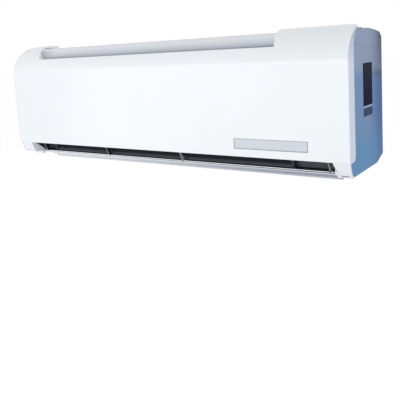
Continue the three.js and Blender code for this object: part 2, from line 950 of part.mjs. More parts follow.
function drainTray() {
  const roof = (d) => floorPoint(d)[1] + ductHeight / Math.cos(ductAngle);
  const front = frameFront + wall + seat;
  const section = [
    [front, 0.4],
    [33, 8.2],
    [33.6, roof(33.6)],
    [72, roof(72)],
    [74.5, 50],
    [72, 50],
    [69, 41],
    [66, trayFloor],
    [36, trayFloor],
    [36, 46],
    [33.2, 46],
    [33.2, filterFoot - seat],
    [front, filterFoot - seat],
  ];
  const endLeft = block(-trayHalf, -trayHalf + 2.5, 33.5, 71, trayFloor - 1, 45);
  const endRight = block(trayHalf - 2.5, trayHalf, 33.5, 71, trayFloor - 1, 45);
  const spout = post(spoutX, 60, 92, 40, 8);
  const spareSpout = post(-spoutX, 60, 82, 40, 8);
  return cut(
    join(prism(section, -trayHalf, trayHalf), endLeft, endRight, spout, spareSpout),
    post(spoutX, 55, 93, 40, 5.5),
    post(-spoutX, 55, 83, 40, 5.5),
    block(-trayHalf + 2.5, trayHalf - 2.5, 36, 65.5, trayFloor, 52),
  );
}

// Rubber plug in the spout that isn't used.
function drainPlug() {
  return join(
    post(-spoutX, 72, 82 + seat + 1, 40, 5.5 - seat),
    post(-spoutX, 82 + seat, 86, 40, 8),
  );
}

// Evaporator packs, each a comb of fins on a straight run
const packs = {
  evaporator_front_lower: { foot: [42, trayFloor + seat], head: [42, 112] },
  evaporator_front_upper: { foot: [42, 126], head: [88, 196] },
  evaporator_rear: { foot: [fanDepth + 5.5, 195], head: [fanDepth + 46, 127] },
};

function packFrame({ foot, head }) {
  const length = Math.hypot(head[0] - foot[0], head[1] - foot[1]);
  const along = [(head[0] - foot[0]) / length, (head[1] - foot[1]) / length];
  const inward = [along[1], -along[0]];
  const sense = inward[0] * (fanDepth - foot[0]) + inward[1] * (fanHeight - foot[1]) > 0 ? 1 : -1;
  const normal = [inward[0] * sense, inward[1] * sense];
  const at = (u, v) => [
    foot[0] + u * along[0] + v * normal[0],
    foot[1] + u * along[1] + v * normal[1],
  ];
  return { length, at };
}

function finPack(spec) {
  const { length, at } = packFrame(spec);
  const body = prism([at(0, 0), at(length, 0), at(length, finDepth), at(0, finDepth)], finLeft, finRight);
  const count = Math.floor((finRight - finLeft) / finPitch);
  const grooves = Array.from({ length: count - 1 }, (_, i) => {
    const x = finLeft + (i + 1) * finPitch;
    return prism(
      [at(-1, -1), at(length + 1, -1), at(length + 1, finGroove), at(-1, finGroove)],
      x,
      x + 1.2,
    );
  });
  return cut(body, wasm.Manifold.union(grooves));
}

// Tube sheet over the packs' ends, with the bends of the tubes standing out of it.
function tubeSheet(side) {
  const face = side < 0 ? finLeft - seat : finRight + seat;
  const far = face + side * sheetThick;
  const x = [face, far].sort((a, b) => a - b);
  const plates = [];
  const bends = [];
  for (const spec of Object.values(packs)) {
    const { length, at } = packFrame(spec);
    plates.push(prism([at(1, 1), at(length - 1, 1), at(length - 1, finDepth - 1), at(1, finDepth - 1)], ...x));
    const count = Math.floor(length / tubePitch);
    const start = (length - (count - 1) * tubePitch) / 2;
    for (let i = 0; i < count; i++) bends.push(returnBend(at, start + i * tubePitch, face, side));
  }
  const links = [
    prism([[46, 106], [60, 106], [60, 122], [52, 136], [46, 130]], ...x),
    prism([[86, 188], [97, 176], [116, 176], [124, 188], [118, 194], [92, 194]], ...x),
  ];
  return join(plates, links, bends);
}

function returnBend(at, u, face, side) {
  const points = [];
  const centre = finDepth / 2;
  const radius = tubeRowGap / 2;
  points.push([face + side * 0.4, ...at(u, centre - radius)]);
  for (let i = 0; i <= 4; i++) {
    const turn = Math.PI * (i / 4);
    const out = face + side * (5 + radius * Math.sin(turn));
    points.push([out, ...at(u, centre - radius * Math.cos(turn))]);
  }
  points.push([face + side * 0.4, ...at(u, centre + radius)]);
  return tube(points, tubeRadius, 5, 6);
}

// Refrigerant pipes: from the right tube sheet down the back and along the channel
const pipeX = halfWidth - 56.5;
const channelDepth = channelFront + 9;

function pipeRun([startDepth, startHeight], x, height, end) {
  const lead = finRight + seat + sheetThick + seat;
  return [
    [lead, startDepth, startHeight],
    [lead + 16, startDepth, startHeight],
    [x - 10, channelDepth - 12, startHeight - 6],
    [x, channelDepth - 2, startHeight - 24],
    [x, channelDepth - 1, height + 40],
    [x, channelDepth, height + 18],
    [x - 18, channelDepth, height],
    [x - 50, channelDepth, height],
    [end, channelDepth, height],
  ];
}

const gasPipeRadius = 4.75;
const liquidPipeRadius = 3.2;
const gasEnd = pipeX - 216;
const liquidEnd = gasEnd + 40;
const gasHeight = 10;
const liquidHeight = -2;

const rearPack = packFrame(packs.evaporator_rear);
const gasPipe = () =>
  tube(pipeRun(rearPack.at(2.05 * tubePitch, 10), pipeX, gasHeight, gasEnd), gasPipeRadius, 8, 30);
const liquidPipe = () =>
  tube(
    pipeRun(rearPack.at(1.05 * tubePitch, 10), pipeX + 14, liquidHeight, liquidEnd),
    liquidPipeRadius,
    6,
    30,
  );

// Flare nut on a pipe's end: a hexagon with a round collar.
function flareNut(x, height, radius) {
  return cut(
    join(
      rod(x - 16, x, channelDepth, height, radius + 2.6, 6),
      rod(x - 18, x - 16, channelDepth, height, radius + 1.6, 16),
    ),
    rod(x - 19, x + 1, channelDepth, height, radius + seat, 16),
  );
}

// Clamp that holds both pipes down in the channel.
function pipeClamp() {
  const left = pipeX - 104;
  const body = block(left, left + 14, channelFront + seat, backDepth + 2, liquidHeight - 6.5, gasHeight + 8);
  return cut(
    body,
    rod(left - 7, left + 18, channelDepth, gasHeight, gasPipeRadius + seat, 16),
    rod(left - 7, left + 18, channelDepth, liquidHeight, liquidPipeRadius + seat, 16),
  );
}

// Vertical louvre: a blade square to the duct, its pin in the floor and a link pin on top
const louvreBase = floorPoint(68);
const ductAlong = [-Math.cos(ductAngle), -Math.sin(ductAngle)];
const ductUp = [-Math.sin(ductAngle), Math.cos(ductAngle)];
const onDuct = (u, v) => [
  louvreBase[0] + u * ductAlong[0] + v * ductUp[0],
  louvreBase[1] + u * ductAlong[1] + v * ductUp[1],
];

// A round pin square to the duct's floor.
function uprightPin(x, u, v0, v1, radius, sides = 8) {
  const geometry = new THREE.CylinderGeometry(radius, radius, v1 - v0, sides);
  geometry.rotateX(Math.PI / 2 + ductAngle);
  geometry.translate(x, ...onDuct(u, (v0 + v1) / 2));
  return solid(geometry);
}

const louvreTop = 28;

function verticalLouvre(x) {
  const outline = [
    onDuct(-14, 6),
    onDuct(-8, 1.2),
    onDuct(14, 1.2),
    onDuct(20, 8),
    onDuct(20, 22),
    onDuct(14, louvreTop),
    onDuct(-10, louvreTop),
    onDuct(-14, 24),
  ];
  return join(
    prism(outline, x - louvreThick / 2, x + louvreThick / 2),
    uprightPin(x, 0, -3, 5, louvrePin),
    uprightPin(x, -linkArm, louvreTop - 5, louvreTop + 2.6, 1.2, 6),
  );
}

const louvrePlaces = Array.from({ length: louvreCount }, (_, i) => louvreFirst + i * louvrePitch);
const louvreSockets = () =>
  louvrePlaces.map((x) => uprightPin(x, 0, -3.4, 4, louvrePin + seat));

// Flat bar over a group of louvres, with a hole round each link pin.
function linkBar(places) {
  const first = places[0] - 5;
  const last = places[places.length - 1] + 5;
  const low = louvreTop + 0.5;
  const high = louvreTop + 2.3;
  const outline = [
    onDuct(-linkArm - 4, low),
    onDuct(-linkArm + 5, low),
    onDuct(-linkArm + 5, high),
    onDuct(-linkArm - 4, high),
  ];
  const holes = places.map((x) =>
    prism(
      [
        onDuct(-linkArm - 1.8, low - 1),
        onDuct(-linkArm + 3.2, low - 1),
        onDuct(-linkArm + 3.2, high + 1),
        onDuct(-linkArm - 1.8, high + 1),
      ],
      x - 1.8,
      x + 1.8,
    ),
  );
  return cut(prism(outline, first, last), wasm.Manifold.union(holes));
}

// Control box in the right end, and what it holds
function controlBox() {
  return cut(
    block(boxLeft, boxRight, boxFront, boxRear, boxSill, boxHead),
    block(boxLeft + 2, boxRight - 2, boxFront - 1, boxRear - 2, boxSill + 2, boxHead - 2),
    block(boxLeft - 1, boxLeft + 3, boxFront + 6, boxFront + 16, boxHead - 40, boxHead - 24),
  );
}

const boardRear = boxRear - 2 - seat;
const boardFace = boardRear - 1.6;
const controlBoard = () =>
  block(boxLeft + 5, boxRight - 5, boardFace, boardRear, boxSill + 26, boxHead - 6);

const terminalBlock = () => {
  const base = block(boxLeft + 8, boxRight - 8, boxRear - 16, boxRear - 2 - seat, boxSill + 4, boxSill + 20);
  const count = 5;
  const pitch = (boxRight - boxLeft - 16) / count;
  const bays = Array.from({ length: count }, (_, i) => {
    const x = boxLeft + 8 + i * pitch + 1.5;
    return block(x, x + pitch - 3, boxRear - 17, boxRear - 9, boxSill + 6, boxSill + 21);
  });
  return cut(base, bays);
};

function capacitor() {
  const geometry = new THREE.CylinderGeometry(8, 8, 20, 16);
  geometry.rotateZ(Math.PI / 2);
  geometry.translate(boxLeft + 24, boardFace - seat - 8, boxSill + 46);
  return solid(geometry);
}

function transformer() {
  const low = boxSill + 66;
  return join(
    block(boxRight - 44, boxRight - 14, boardFace - 15, boardFace - seat, low, low + 20),
    block(boxRight - 40, boxRight - 18, boardFace - 17, boardFace - 2, low - 3, low + 23),
  );
}

const boxCover = () => {
  const rear = boxFront - seat;
  return cut(
    block(boxLeft + 1, boxRight - 1, frameFront + wall + seat, rear, boxSill - 2, boxHead - 1),
    block(boxLeft + 6, boxRight - 6, frameFront + wall + 2.5, rear + 1, boxSill + 3, boxHead - 6),
  );
};

// Display board in its carrier, clipped to the frame behind the window
const carrierFront = 17;
const carrierThick = 3.5;

function displayBoard() {
  const left = windowLeft + 4;
  const right = windowLeft + windowWidth - 4;
  const low = windowSill - 4;
  const high = windowSill + windowHeight;
  const face = carrierFront + carrierThick;
  const carrier = join(
    block(left, right, face - 0.5, frameFront - seat, low, low + 6),
    block(left, buttonX + 9, carrierFront, face, low, high),
    block(left + 20, right - 20, carrierFront - 5, carrierFront + 1, low + 8, high - 4),
  );
  return cut(carrier, post(buttonX, carrierFront - 1, face + 1, buttonHeight, buttonRadius + seat));
}

// Emergency button: its collar stops behind the carrier.
function emergencyButton() {
  const face = carrierFront + carrierThick + seat;
  return join(
    post(buttonX, carrierFront - 3, face + 1, buttonHeight, buttonRadius),
    post(buttonX, face, face + 1.5, buttonHeight, buttonRadius + 1.6),
  );
}

// Room thermistor in its clip on the front of the right-hand tube sheet.
function roomSensor() {
  return join(
    rod(filterEdgeRight + 16, filterEdgeRight + 30, 33.4, 120, 2.6, 12),
    block(filterEdgeRight + 18, filterEdgeRight + 24, frameFront + wall + seat, 33.6, 116, 124),
  );
}

// Mounting plate: pressed sheet with folded edges, hooks and holes
function mountingPlate() {
  const low = plateCentre - plateHeight / 2;
  const high = plateCentre + plateHeight / 2;
  const rear = depth;
  const bevel = 24;
  const outline = [
    [-plateHalf, low + bevel],
    [-plateHalf + bevel, low],
    [plateHalf - bevel, low],
    [plateHalf, low + bevel],
    [plateHalf, high - bevel],
    [plateHalf - bevel, high],
    [-plateHalf + bevel, high],
    [-plateHalf, high - bevel],
  ];
  const sheet = slab(outline, rear - plateThick, rear);
  const folds = [low, high - plateThick].map((h) =>
    block(-plateHalf + bevel + 2, plateHalf - bevel - 2, rear - 7, rear - 0.5, h, h + plateThick),
  );
  const hooks = hookPlaces.map((x) => {
    const inner = backDepth - wall - 0.6 - hookThick;
    return join(
      block(x - hookWidth / 2, x + hookWidth / 2, inner, rear - 0.5, hookHeight - hookThick, hookHeight),
      block(x - hookWidth / 2, x + hookWidth / 2, inner, inner + hookThick, hookHeight - hookThick, hookHeight + hookRise),
    );
  });
  const places = [plateHalf - 68, plateHalf - 180];
  const windows = [...places, ...places.map((x) => -x)].map((x) =>
    block(x - 34, x + 34, rear - 10, rear + 1, low + 50, high - 50),
  );
  const holes = [];
  const holePitch = (plateHalf - 60) / 3;
  for (const h of [low + 22, high - 22])
    for (let x = -3 * holePitch; x <= 3 * holePitch; x += holePitch)
      if (h < plateCentre || hookPlaces.every((place) => Math.abs(place - x) > hookWidth / 2 + 6))
        holes.push(post(x, rear - 9, rear + 1, h, 3, 8));
  return cut(join(sheet, folds, hooks), windows, holes);
}

piece("mounting_plate", mountingPlate(), galvanised);
piece("rear_chassis", rearChassis(), chassisGrey);
piece("front_frame", frontFrame(), frameBlue);
piece("top_grille", topGrille(), plainGrey);
piece("front_panel", frontPanel(), panelWhite);
piece("display_window", displayWindow(), lensGrey);
piece("display_board", displayBoard(), boardGreen);
piece("emergency_button", emergencyButton(), panelWhite);
piece("outlet_flap", outletFlap(), panelWhite);
piece("flap_motor", flapMotor(), steel);
piece("air_filter_left", airFilter(filterEdgeLeft + 2, filterBar - 2), ductGrey);
piece("air_filter_right", airFilter(filterBar + 2, filterEdgeRight + 4), ductGrey);
for (const [name, spec] of Object.entries(packs)) piece(name, finPack(spec), aluminium);
piece("tube_sheet_left", tubeSheet(-1), copper);
piece("tube_sheet_right", tubeSheet(1), copper);
piece("gas_pipe", gasPipe(), copper);
piece("liquid_pipe", liquidPipe(), copper);
piece("gas_flare_nut", flareNut(gasEnd + 16, gasHeight, gasPipeRadius), brass);
piece("liquid_flare_nut", flareNut(liquidEnd + 16, liquidHeight, liquidPipeRadius), brass);
piece("pipe_clamp", pipeClamp(), plainGrey);
piece("cross_flow_fan", crossFlowFan(), fanBlack);
piece("fan_stub_shaft", stubShaft(), steel);
piece("fan_bearing", fanBearing(), rubber);
piece("motor_shaft", motorShaft(), steel);
piece("fan_motor", fanMotor(), plainGrey);
piece("motor_clamp", motorClamp(), chassisGrey);
piece("drain_tray", drainTray(), ductGrey);
piece("drain_plug", drainPlug(), rubber);
louvrePlaces.forEach((x, i) => piece("vertical_louvre_" + (i + 1), verticalLouvre(x), ductGrey));
piece("louvre_link_left", linkBar(louvrePlaces.slice(0, louvreCount / 2)), ductGrey);
piece("louvre_link_right", linkBar(louvrePlaces.slice(louvreCount / 2)), ductGrey);
piece("control_box", controlBox(), galvanised);
piece("control_box_cover", boxCover(), plainGrey);
piece("control_board", controlBoard(), boardGreen);
piece("terminal_block", terminalBlock(), plainGrey);
piece("capacitor", capacitor(), rubber);
piece("transformer", transformer(), steel);
piece("room_sensor", roomSensor(), rubber);
capPlaces.forEach((x, i) => piece("screw_cap_" + (i + 1), screwCap(x), panelWhite));

export default unit;
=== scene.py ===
"""Indoor unit of a mini split air conditioner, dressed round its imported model."""

import math

import bmesh
import bpy
from mathutils import Matrix, Vector


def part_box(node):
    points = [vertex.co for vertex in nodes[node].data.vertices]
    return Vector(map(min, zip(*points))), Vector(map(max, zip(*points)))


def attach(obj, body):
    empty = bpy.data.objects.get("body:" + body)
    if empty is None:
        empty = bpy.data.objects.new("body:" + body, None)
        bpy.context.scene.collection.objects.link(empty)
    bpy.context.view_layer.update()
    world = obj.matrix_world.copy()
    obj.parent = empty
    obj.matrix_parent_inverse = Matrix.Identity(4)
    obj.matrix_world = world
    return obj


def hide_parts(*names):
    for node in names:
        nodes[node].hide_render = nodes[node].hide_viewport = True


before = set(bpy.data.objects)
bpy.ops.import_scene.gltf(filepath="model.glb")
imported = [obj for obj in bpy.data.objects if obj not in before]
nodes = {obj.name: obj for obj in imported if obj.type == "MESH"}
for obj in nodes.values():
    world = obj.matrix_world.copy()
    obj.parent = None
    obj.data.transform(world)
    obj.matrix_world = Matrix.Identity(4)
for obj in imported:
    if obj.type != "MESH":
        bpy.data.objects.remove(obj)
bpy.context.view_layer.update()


# Front panel. One gloss white moulding that wraps round both ends and over the top in two
# shoulders, and swings up on two pins behind them. Its profile is extruded, hollowed to a
# thin wall, cut back between the shoulders and eased along its outer edges.
HALF_WIDTH = 422.5
UNIT_DEPTH = 189
PLATE_CENTRE = 103
WALL = 2.5
HINGE = (99, 229)
BARREL = 4
SHOULDER_DEPTH = 48
SHOULDER_CUT = 22
RECESS = (-339, 283)
RECESS_LEAN = (-30, -11)
RECESS_SILL = 200.7
SHOULDER_TOP = 233
LENS = (199, 347, 15, 34)
LENS_GAP = 0.3
CHEEK_FOOT = 198
NOTCHES = ((-1, -375), (1, 289))
NOTCH_WIDTH = 4.8
MERGE_DISTANCE = 2e-6
FLAT_ANGLE = 0.01


def at(x, d, h):
    """A point in mm across, behind the front and above the panel's lower edge, in metres."""
    return Vector((x / 1000, (d - UNIT_DEPTH) / 1000, (h - PLATE_CENTRE) / 1000))


def unit(point):
    """The same three measures of a point of a mesh."""
    return point.x * 1000, point.y * 1000 + UNIT_DEPTH, point.z * 1000 + PLATE_CENTRE


def bezier(a, b, c, e, steps):
    """Points on a curve from a to e that b and c draw out."""

    def point(t):
        s = 1 - t
        weights = (s**3, 3 * s * s * t, 3 * s * t * t, t**3)
        return tuple(sum(w * p[k] for w, p in zip(weights, (a, b, c, e))) for k in range(2))

    return [point(i / steps) for i in range(steps + 1)]


def arc(centre, radius, first, last, steps):
    """Points round a centre, from one angle in degrees to another."""
    turns = [math.radians(first + (last - first) * i / steps) for i in range(steps + 1)]
    return [(centre[0] + radius * math.cos(t), centre[1] + radius * math.sin(t)) for t in turns]


def beside(path, shift):
    """The path moved sideways, to the right of its direction of travel."""
    moved = []
    for i, (d, h) in enumerate(path):
        a, b = path[max(i - 1, 0)], path[min(i + 1, len(path) - 1)]
        length = math.dist(a, b)
        moved.append((d + shift * (b[1] - a[1]) / length, h - shift * (b[0] - a[0]) / length))
    return moved


def linked(name, data):
    """A new object in the scene."""
    made = bpy.data.objects.new(name, data)
    bpy.context.collection.objects.link(made)
    return made


def poured(name, bm):
    """A new object with what a bmesh holds, which is then freed."""
    mesh = bpy.data.meshes.new(name)
    bm.to_mesh(mesh)
    bm.free()
    return linked(name, mesh)


def new_piece(name, bm):
    """The same, with its normals turned outwards."""
    bmesh.ops.recalc_face_normals(bm, faces=bm.faces)
    return poured(name, bm)


def extruded(name, first, last):
    """A closed solid between two rings of points."""
    bm = bmesh.new()
    rings = [[bm.verts.new(p) for p in ring] for ring in (first, last)]
    bm.faces.new(rings[0])
    bm.faces.new(rings[1])
    for i in range(len(first)):
        j = (i + 1) % len(first)
        bm.faces.new((rings[0][i], rings[0][j], rings[1][j], rings[1][i]))
    return new_piece(name, bm)


def prism(name, outline, x0, x1):
    """An outline in depth and height, drawn across the unit."""
    return extruded(name, [at(x0, d, h) for d, h in outline], [at(x1, d, h) for d, h in outline])


def slab(name, outline, d0, d1):
    """An outline in width and height, drawn from front to back."""
    return extruded(name, [at(x, d0, h) for x, h in outline], [at(x, d1, h) for x, h in outline])


def raised(name, outline, h0, h1):
    """An outline in width and depth, drawn upwards."""
    return extruded(name, [at(x, d, h0) for x, d in outline], [at(x, d, h1) for x, d in outline])


def block(name, x0, x1, d0, d1, h0, h1):
    """A box between three pairs of limits."""
    return slab(name, [(x0, h0), (x1, h0), (x1, h1), (x0, h1)], d0, d1)


def settle(piece):
    """Turns a piece's modifiers into plain mesh."""
    graph = bpy.context.evaluated_depsgraph_get()
    mesh = bpy.data.meshes.new_from_object(piece.evaluated_get(graph))
    piece.modifiers.clear()
    piece.data = mesh


def combine(piece, how, *tools):
    """Cuts a piece with tools or adds them to it; the tools are used up."""
    for tool in tools:
        step = piece.modifiers.new("combine", "BOOLEAN")
        step.operation = how
        step.solver = "EXACT"
        step.object = tool
    settle(piece)
    for tool in tools:
        bpy.data.objects.remove(tool)


def cleaned(bm):
    """Joins doubled points and drops the edges inside flat faces."""
    bmesh.ops.remove_doubles(bm, verts=bm.verts, dist=MERGE_DISTANCE)
    bmesh.ops.dissolve_limit(bm, angle_limit=FLAT_ANGLE, verts=bm.verts, edges=bm.edges)


def soften(piece, width, pick=lambda a, b: True, segments=2, angle=60, clean=True):
    """Rounds the edges that are sharper than the angle, all or those that pick chooses."""
    bm = bmesh.new()
    bm.from_mesh(piece.data)
    if clean:
        cleaned(bm)
    chosen = [
        e
        for e in bm.edges
        if len(e.link_faces) == 2
        and e.calc_face_angle(0) > math.radians(angle)
        and pick(unit(e.verts[0].co), unit(e.verts[1].co))
    ]
    bmesh.ops.bevel(
        bm,
        geom=chosen,
        offset=width / 1000,
        segments=segments,
        profile=0.5,
        affect="EDGES",
        clamp_overlap=True,
    )
    bm.to_mesh(piece.data)
    bm.free()


def shade(piece, angle):
    """Smooth shading that keeps flat faces flat and sharp edges sharp."""
    piece.data.shade_smooth()
    piece.data.set_sharp_from_angle(angle=math.radians(angle))
    step = piece.modifiers.new("normals", "WEIGHTED_NORMAL")
    step.keep_sharp = True
    settle(piece)


class Value:
    """A node's outlet that takes part in sums, and adds the Math nodes for them."""

    def __init__(self, owner, socket):
        self.owner = owner
        self.socket = socket

    def math(self, operation, a, b=0.0):
        return self.owner.node("ShaderNodeMath", {0: a, 1: b}, operation=operation)

    def __add__(self, other):
        return self.math("ADD", self, other)

    def __sub__(self, other):
        return self.math("SUBTRACT", self, other)

    def __rsub__(self, other):
        return self.math("SUBTRACT", other, self)

    def __mul__(self, other):
        return self.math("MULTIPLY", self, other)

    def __truediv__(self, other):
        return self.math("DIVIDE", self, other)

    def __abs__(self):
        return self.math("ABSOLUTE", self)

    __radd__ = __add__
    __rmul__ = __mul__

    def largest(self, other):
        return self.math("MAXIMUM", self, other)

    def ramp(self, low, high):
        """0 below low, 1 above high, and smooth between them."""
        values = {"Value": self, "From Min": low, "From Max": high}
        return self.owner.node("ShaderNodeMapRange", values, interpolation_type="SMOOTHSTEP")


class Nodes:
    """A node tree that is filled by one method for every kind of node."""

    def __init__(self, tree):
        self.tree = tree

    def node(self, kind, inputs=None, outlet=0, **settings):
        made = self.tree.nodes.new(kind)
        for key, value in settings.items():
            setattr(made, key, value)
        for key, value in (inputs or {}).items():
            self.feed(made.inputs[key], value)
        return Value(self, made.outputs[outlet])

    def feed(self, socket, value):
        if isinstance(value, Value):
            self.tree.links.new(value.socket, socket)
        else:
            socket.default_value = value


def tone(red, green, blue):
    """A colour read as 0 to 255, as the shaders want it."""

    def linear(value):
        share = value / 255
        return share / 12.92 if share <= 0.04045 else ((share + 0.055) / 1.055) ** 2.4

    return (linear(red), linear(green), linear(blue), 1)


class Finish(Nodes):
    """A procedural material on Object coordinates."""

    def __init__(self, name, **constants):
        self.material = bpy.data.materials.new(name)
        self.material.use_nodes = True
        super().__init__(self.material.node_tree)
        self.tree.nodes.clear()
        self.place = self.node("ShaderNodeTexCoord", outlet="Object")
        self.shader = self.tree.nodes.new("ShaderNodeBsdfPrincipled")
        out = self.tree.nodes.new("ShaderNodeOutputMaterial")
        self.tree.links.new(self.shader.outputs[0], out.inputs["Surface"])
        self.set(**constants)

    def set(self, **values):
        for key, value in values.items():
            self.feed(self.shader.inputs[key.replace("_", " ")], value)

    def axis(self, name):
        return self.node("ShaderNodeSeparateXYZ", {0: self.place}, name)

    def across(self):
        """Mm from the unit's middle, to the right."""
        return self.axis("X") * 1000

    def behind(self):
        """Mm behind the unit's front."""
        return self.axis("Y") * 1000 + UNIT_DEPTH

    def height(self):
        """Mm above the panel's lower edge."""
        return self.axis("Z") * 1000 + PLATE_CENTRE

    def noise(self, scale, detail, stretch=(1, 1, 1)):
        where = self.node("ShaderNodeMapping", {"Vector": self.place, "Scale": stretch})
        values = {"Vector": where, "Scale": scale, "Detail": detail}
        return self.node("ShaderNodeTexNoise", values)

    def mix(self, share, a, b):
        return self.node("ShaderNodeMix", {0: share, 6: a, 7: b}, 2, data_type="RGBA")

    def bump(self, height, strength, distance):
        values = {"Height": height, "Strength": strength, "Distance": distance}
        return self.node("ShaderNodeBump", values)


def moulded(name, colour, low, high, grain, roughness):
    """Moulded plastic: faint drift of tone, uneven gloss and the grain of its tool."""
    made = Finish(name)
    shades = [tone(*(channel + change for channel in colour)) for change in (low, high)]
    drift = made.noise(6, 2)
    fine = made.noise(900, 4)
    made.set(
        Base_Color=made.mix(drift, *shades),
        Roughness=roughness + 0.08 * (made.noise(40, 3) - 0.5) + 0.05 * (fine - 0.5),
        Normal=made.bump(fine, 0.25 + grain, 0.00004 + 0.0002 * grain),
    )
    return made


def finished(piece, finish, slot, *replaced, body="casing", angle=35):
    """Gives a piece its shading, material and body, and hides the nodes that it stands for; the
    slot is not used.
    """
    if angle:
        shade(piece, angle)
    piece.data.materials.clear()
    piece.data.materials.append(finish.material)
    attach(piece, body)
    if replaced:
        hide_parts(*replaced)


def return_edge(gap):
    """The rear edge of the panel's side returns, which the casing follows at a gap."""
    return bezier(
        (60, 227 - gap), (44 + gap / 2, 227.5 - gap), (26 + gap, 217 - gap), (26 + gap, 190), 14
    )


def lean(side, h):
    """How far across the recess reaches at a height, on its left or right side."""
    share = (h - RECESS_SILL) / (SHOULDER_TOP - RECESS_SILL)
    return RECESS[side] + RECESS_LEAN[side] * share


def from_above(name, inset):
    """The panel's reach seen from above, its outer rear corners rounded back to the hinge."""
    half = HALF_WIDTH - inset
    corner = bezier(
        (half, SHOULDER_DEPTH - inset / 2), (half - 2, 56), (half - 12, 66), (half - 18, 78), 10
    )
    corner.append((half - SHOULDER_CUT, HINGE[0] + BARREL + 1 - inset))
    outline = [(half, -2), *corner]
    return raised(name, outline + [(-x, d) for x, d in reversed(outline)], -20, 260)


front_line = bezier((0, 172), (2, 200), (38, SHOULDER_TOP), (76, SHOULDER_TOP), 30)
panel_outline = [
    (0, 0),
    *front_line,
    *arc(HINGE, BARREL, 85, -90, 10),
    (80, 227),
    *return_edge(0),
    *arc((16, 10), 10, 0, -90, 8),
]
panel = prism("front_panel_shell", panel_outline, -HALF_WIDTH, HALF_WIDTH)


def on_end(*points):
    """Whether points lie on the unit's end faces."""
    return all(abs(x) > HALF_WIDTH - 0.05 for x, _, _ in points)


def near_front(point):
    """Whether a point lies on the profile that the front and crown follow."""
    path = [(0, 0), *front_line]
    return any(
        abs((b[0] - a[0]) * (point[2] - a[1]) - (b[1] - a[1]) * (point[1] - a[0]))
        < 0.05 * math.dist(a, b)
        and min(a[1], b[1]) - 0.1 < point[2] < max(a[1], b[1]) + 0.1
        for a, b in zip(path, path[1:])
    )


soften(
    panel, 4.5, lambda a, b: on_end(a, b) and near_front(a) and near_front(b), 5, 10, clean=False
)
inner_line = beside([(0, 0), *front_line, (93, SHOULDER_TOP)], WALL)[1:]
reach = HALF_WIDTH - WALL
core = prism("core", [(WALL, WALL), *inner_line, (93, 150), (92, WALL)], -reach, reach)
combine(core, "INTERSECT", from_above("core_reach", WALL))
combine(panel, "INTERSECT", from_above("panel_reach", 0))
combine(panel, "DIFFERENCE", core, block("ledge", -reach, reach, 17, 27, -1, 3.5))
crescent = [
    *beside([(0, 0), *front_line], 0.6)[1:],
    (96, SHOULDER_TOP - 0.6),
    (96, 226),
    (80, 227.4),
    *[(d - 0.4, h + 0.4) for d, h in return_edge(0)],
]
high = SHOULDER_TOP + 10
for side, way in ((0, -1), (1, 1)):
    foot, head = lean(side, CHEEK_FOOT), lean(side, high)
    inner_edge = [(foot, CHEEK_FOOT), (head, high)]
    outer_edge = [(head + way * WALL, high), (foot + way * WALL, CHEEK_FOOT)]
    cheek_plate = slab("cheek", inner_edge + outer_edge, -1, 103)
    combine(cheek_plate, "INTERSECT", prism("crescent", crescent, -400, 400))
    combine(panel, "UNION", cheek_plate)
corners = ((0, RECESS_SILL), (1, RECESS_SILL), (1, high), (0, high))
recess = slab("recess", [(lean(side, h), h) for side, h in corners], -1, 104)
opening_sides = (LENS[0] - LENS_GAP, LENS[1] + LENS_GAP)
opening_edges = (LENS[2] - LENS_GAP, LENS[3] + LENS_GAP)
cuts = [recess, block("opening", *opening_sides, -1, WALL + 1, *opening_edges)]
for way, inner in NOTCHES:
    notch = sorted((inner, inner - way * NOTCH_WIDTH))
    cuts.append(block("notch", *notch, HINGE[0] - 6, HINGE[0] + 6, 215, 240))
combine(panel, "DIFFERENCE", *cuts)


def on_lip(a, b):
    """The panel's top edge in the recess, and the shoulders' inner edges."""
    low = all(abs(h - RECESS_SILL) < 0.3 and d < 60 for _, d, h in (a, b))
    sides = [
        all(abs(x - lean(side, h)) < 0.3 and h > RECESS_SILL - 0.3 for x, _, h in (a, b))
        for side in (0, 1)
    ]
    front = all(h > 199 and d < 8 + (h - 200) * 3.2 for _, d, h in (a, b))
    return front and (low or any(sides))


def on_shoulder_corner(a, b):
    """The top edge round a shoulder's outer rear corner."""
    return all(
        abs(x) > HALF_WIDTH - SHOULDER_CUT and d > SHOULDER_DEPTH - 1 and h > 227.2
        for x, d, h in (a, b)
    )


soften(panel, 1.6, on_lip, 3, 40)
soften(panel, 1.5, on_shoulder_corner, 3, 40, clean=False)
gloss_white = moulded("gloss_white", (241, 245, 249), -2, 2, 0.0, 0.22)
panel_gloss = moulded("panel_gloss", (241, 245, 249), -2, 2, 0.0, 0.22)
across = abs(panel_gloss.across())
# Painted reflection: the panel's end faces are painted pale blue, darkening towards the top.
up_side = panel_gloss.height().ramp(150, 225)
end_reflection = panel_gloss.mix(up_side, tone(216, 227, 246), tone(176, 188, 210))
panel_gloss.set(
    Base_Color=panel_gloss.mix(
        across.ramp(HALF_WIDTH - 2.4, HALF_WIDTH - 1),
        panel_gloss.mix(panel_gloss.noise(6, 2), tone(239, 243, 247), tone(243, 247, 251)),
        end_reflection,
    )
)
finished(panel, panel_gloss, "panel_white", "front_panel", body="panel")


# Display window. A clear lens snapped into the panel from behind, smoked grey by the dark
# carrier under it, with rounded corners and a darker rim.
def rounded(low, high, foot, head, radius):
    """A rectangle with rounded corners."""
    corners = (
        ((high - radius, head - radius), 0),
        ((low + radius, head - radius), 90),
        ((low + radius, foot + radius), 180),
        ((high - radius, foot + radius), 270),
    )
    return [p for corner, turn in corners for p in arc(corner, radius, turn, turn + 90, 4)]


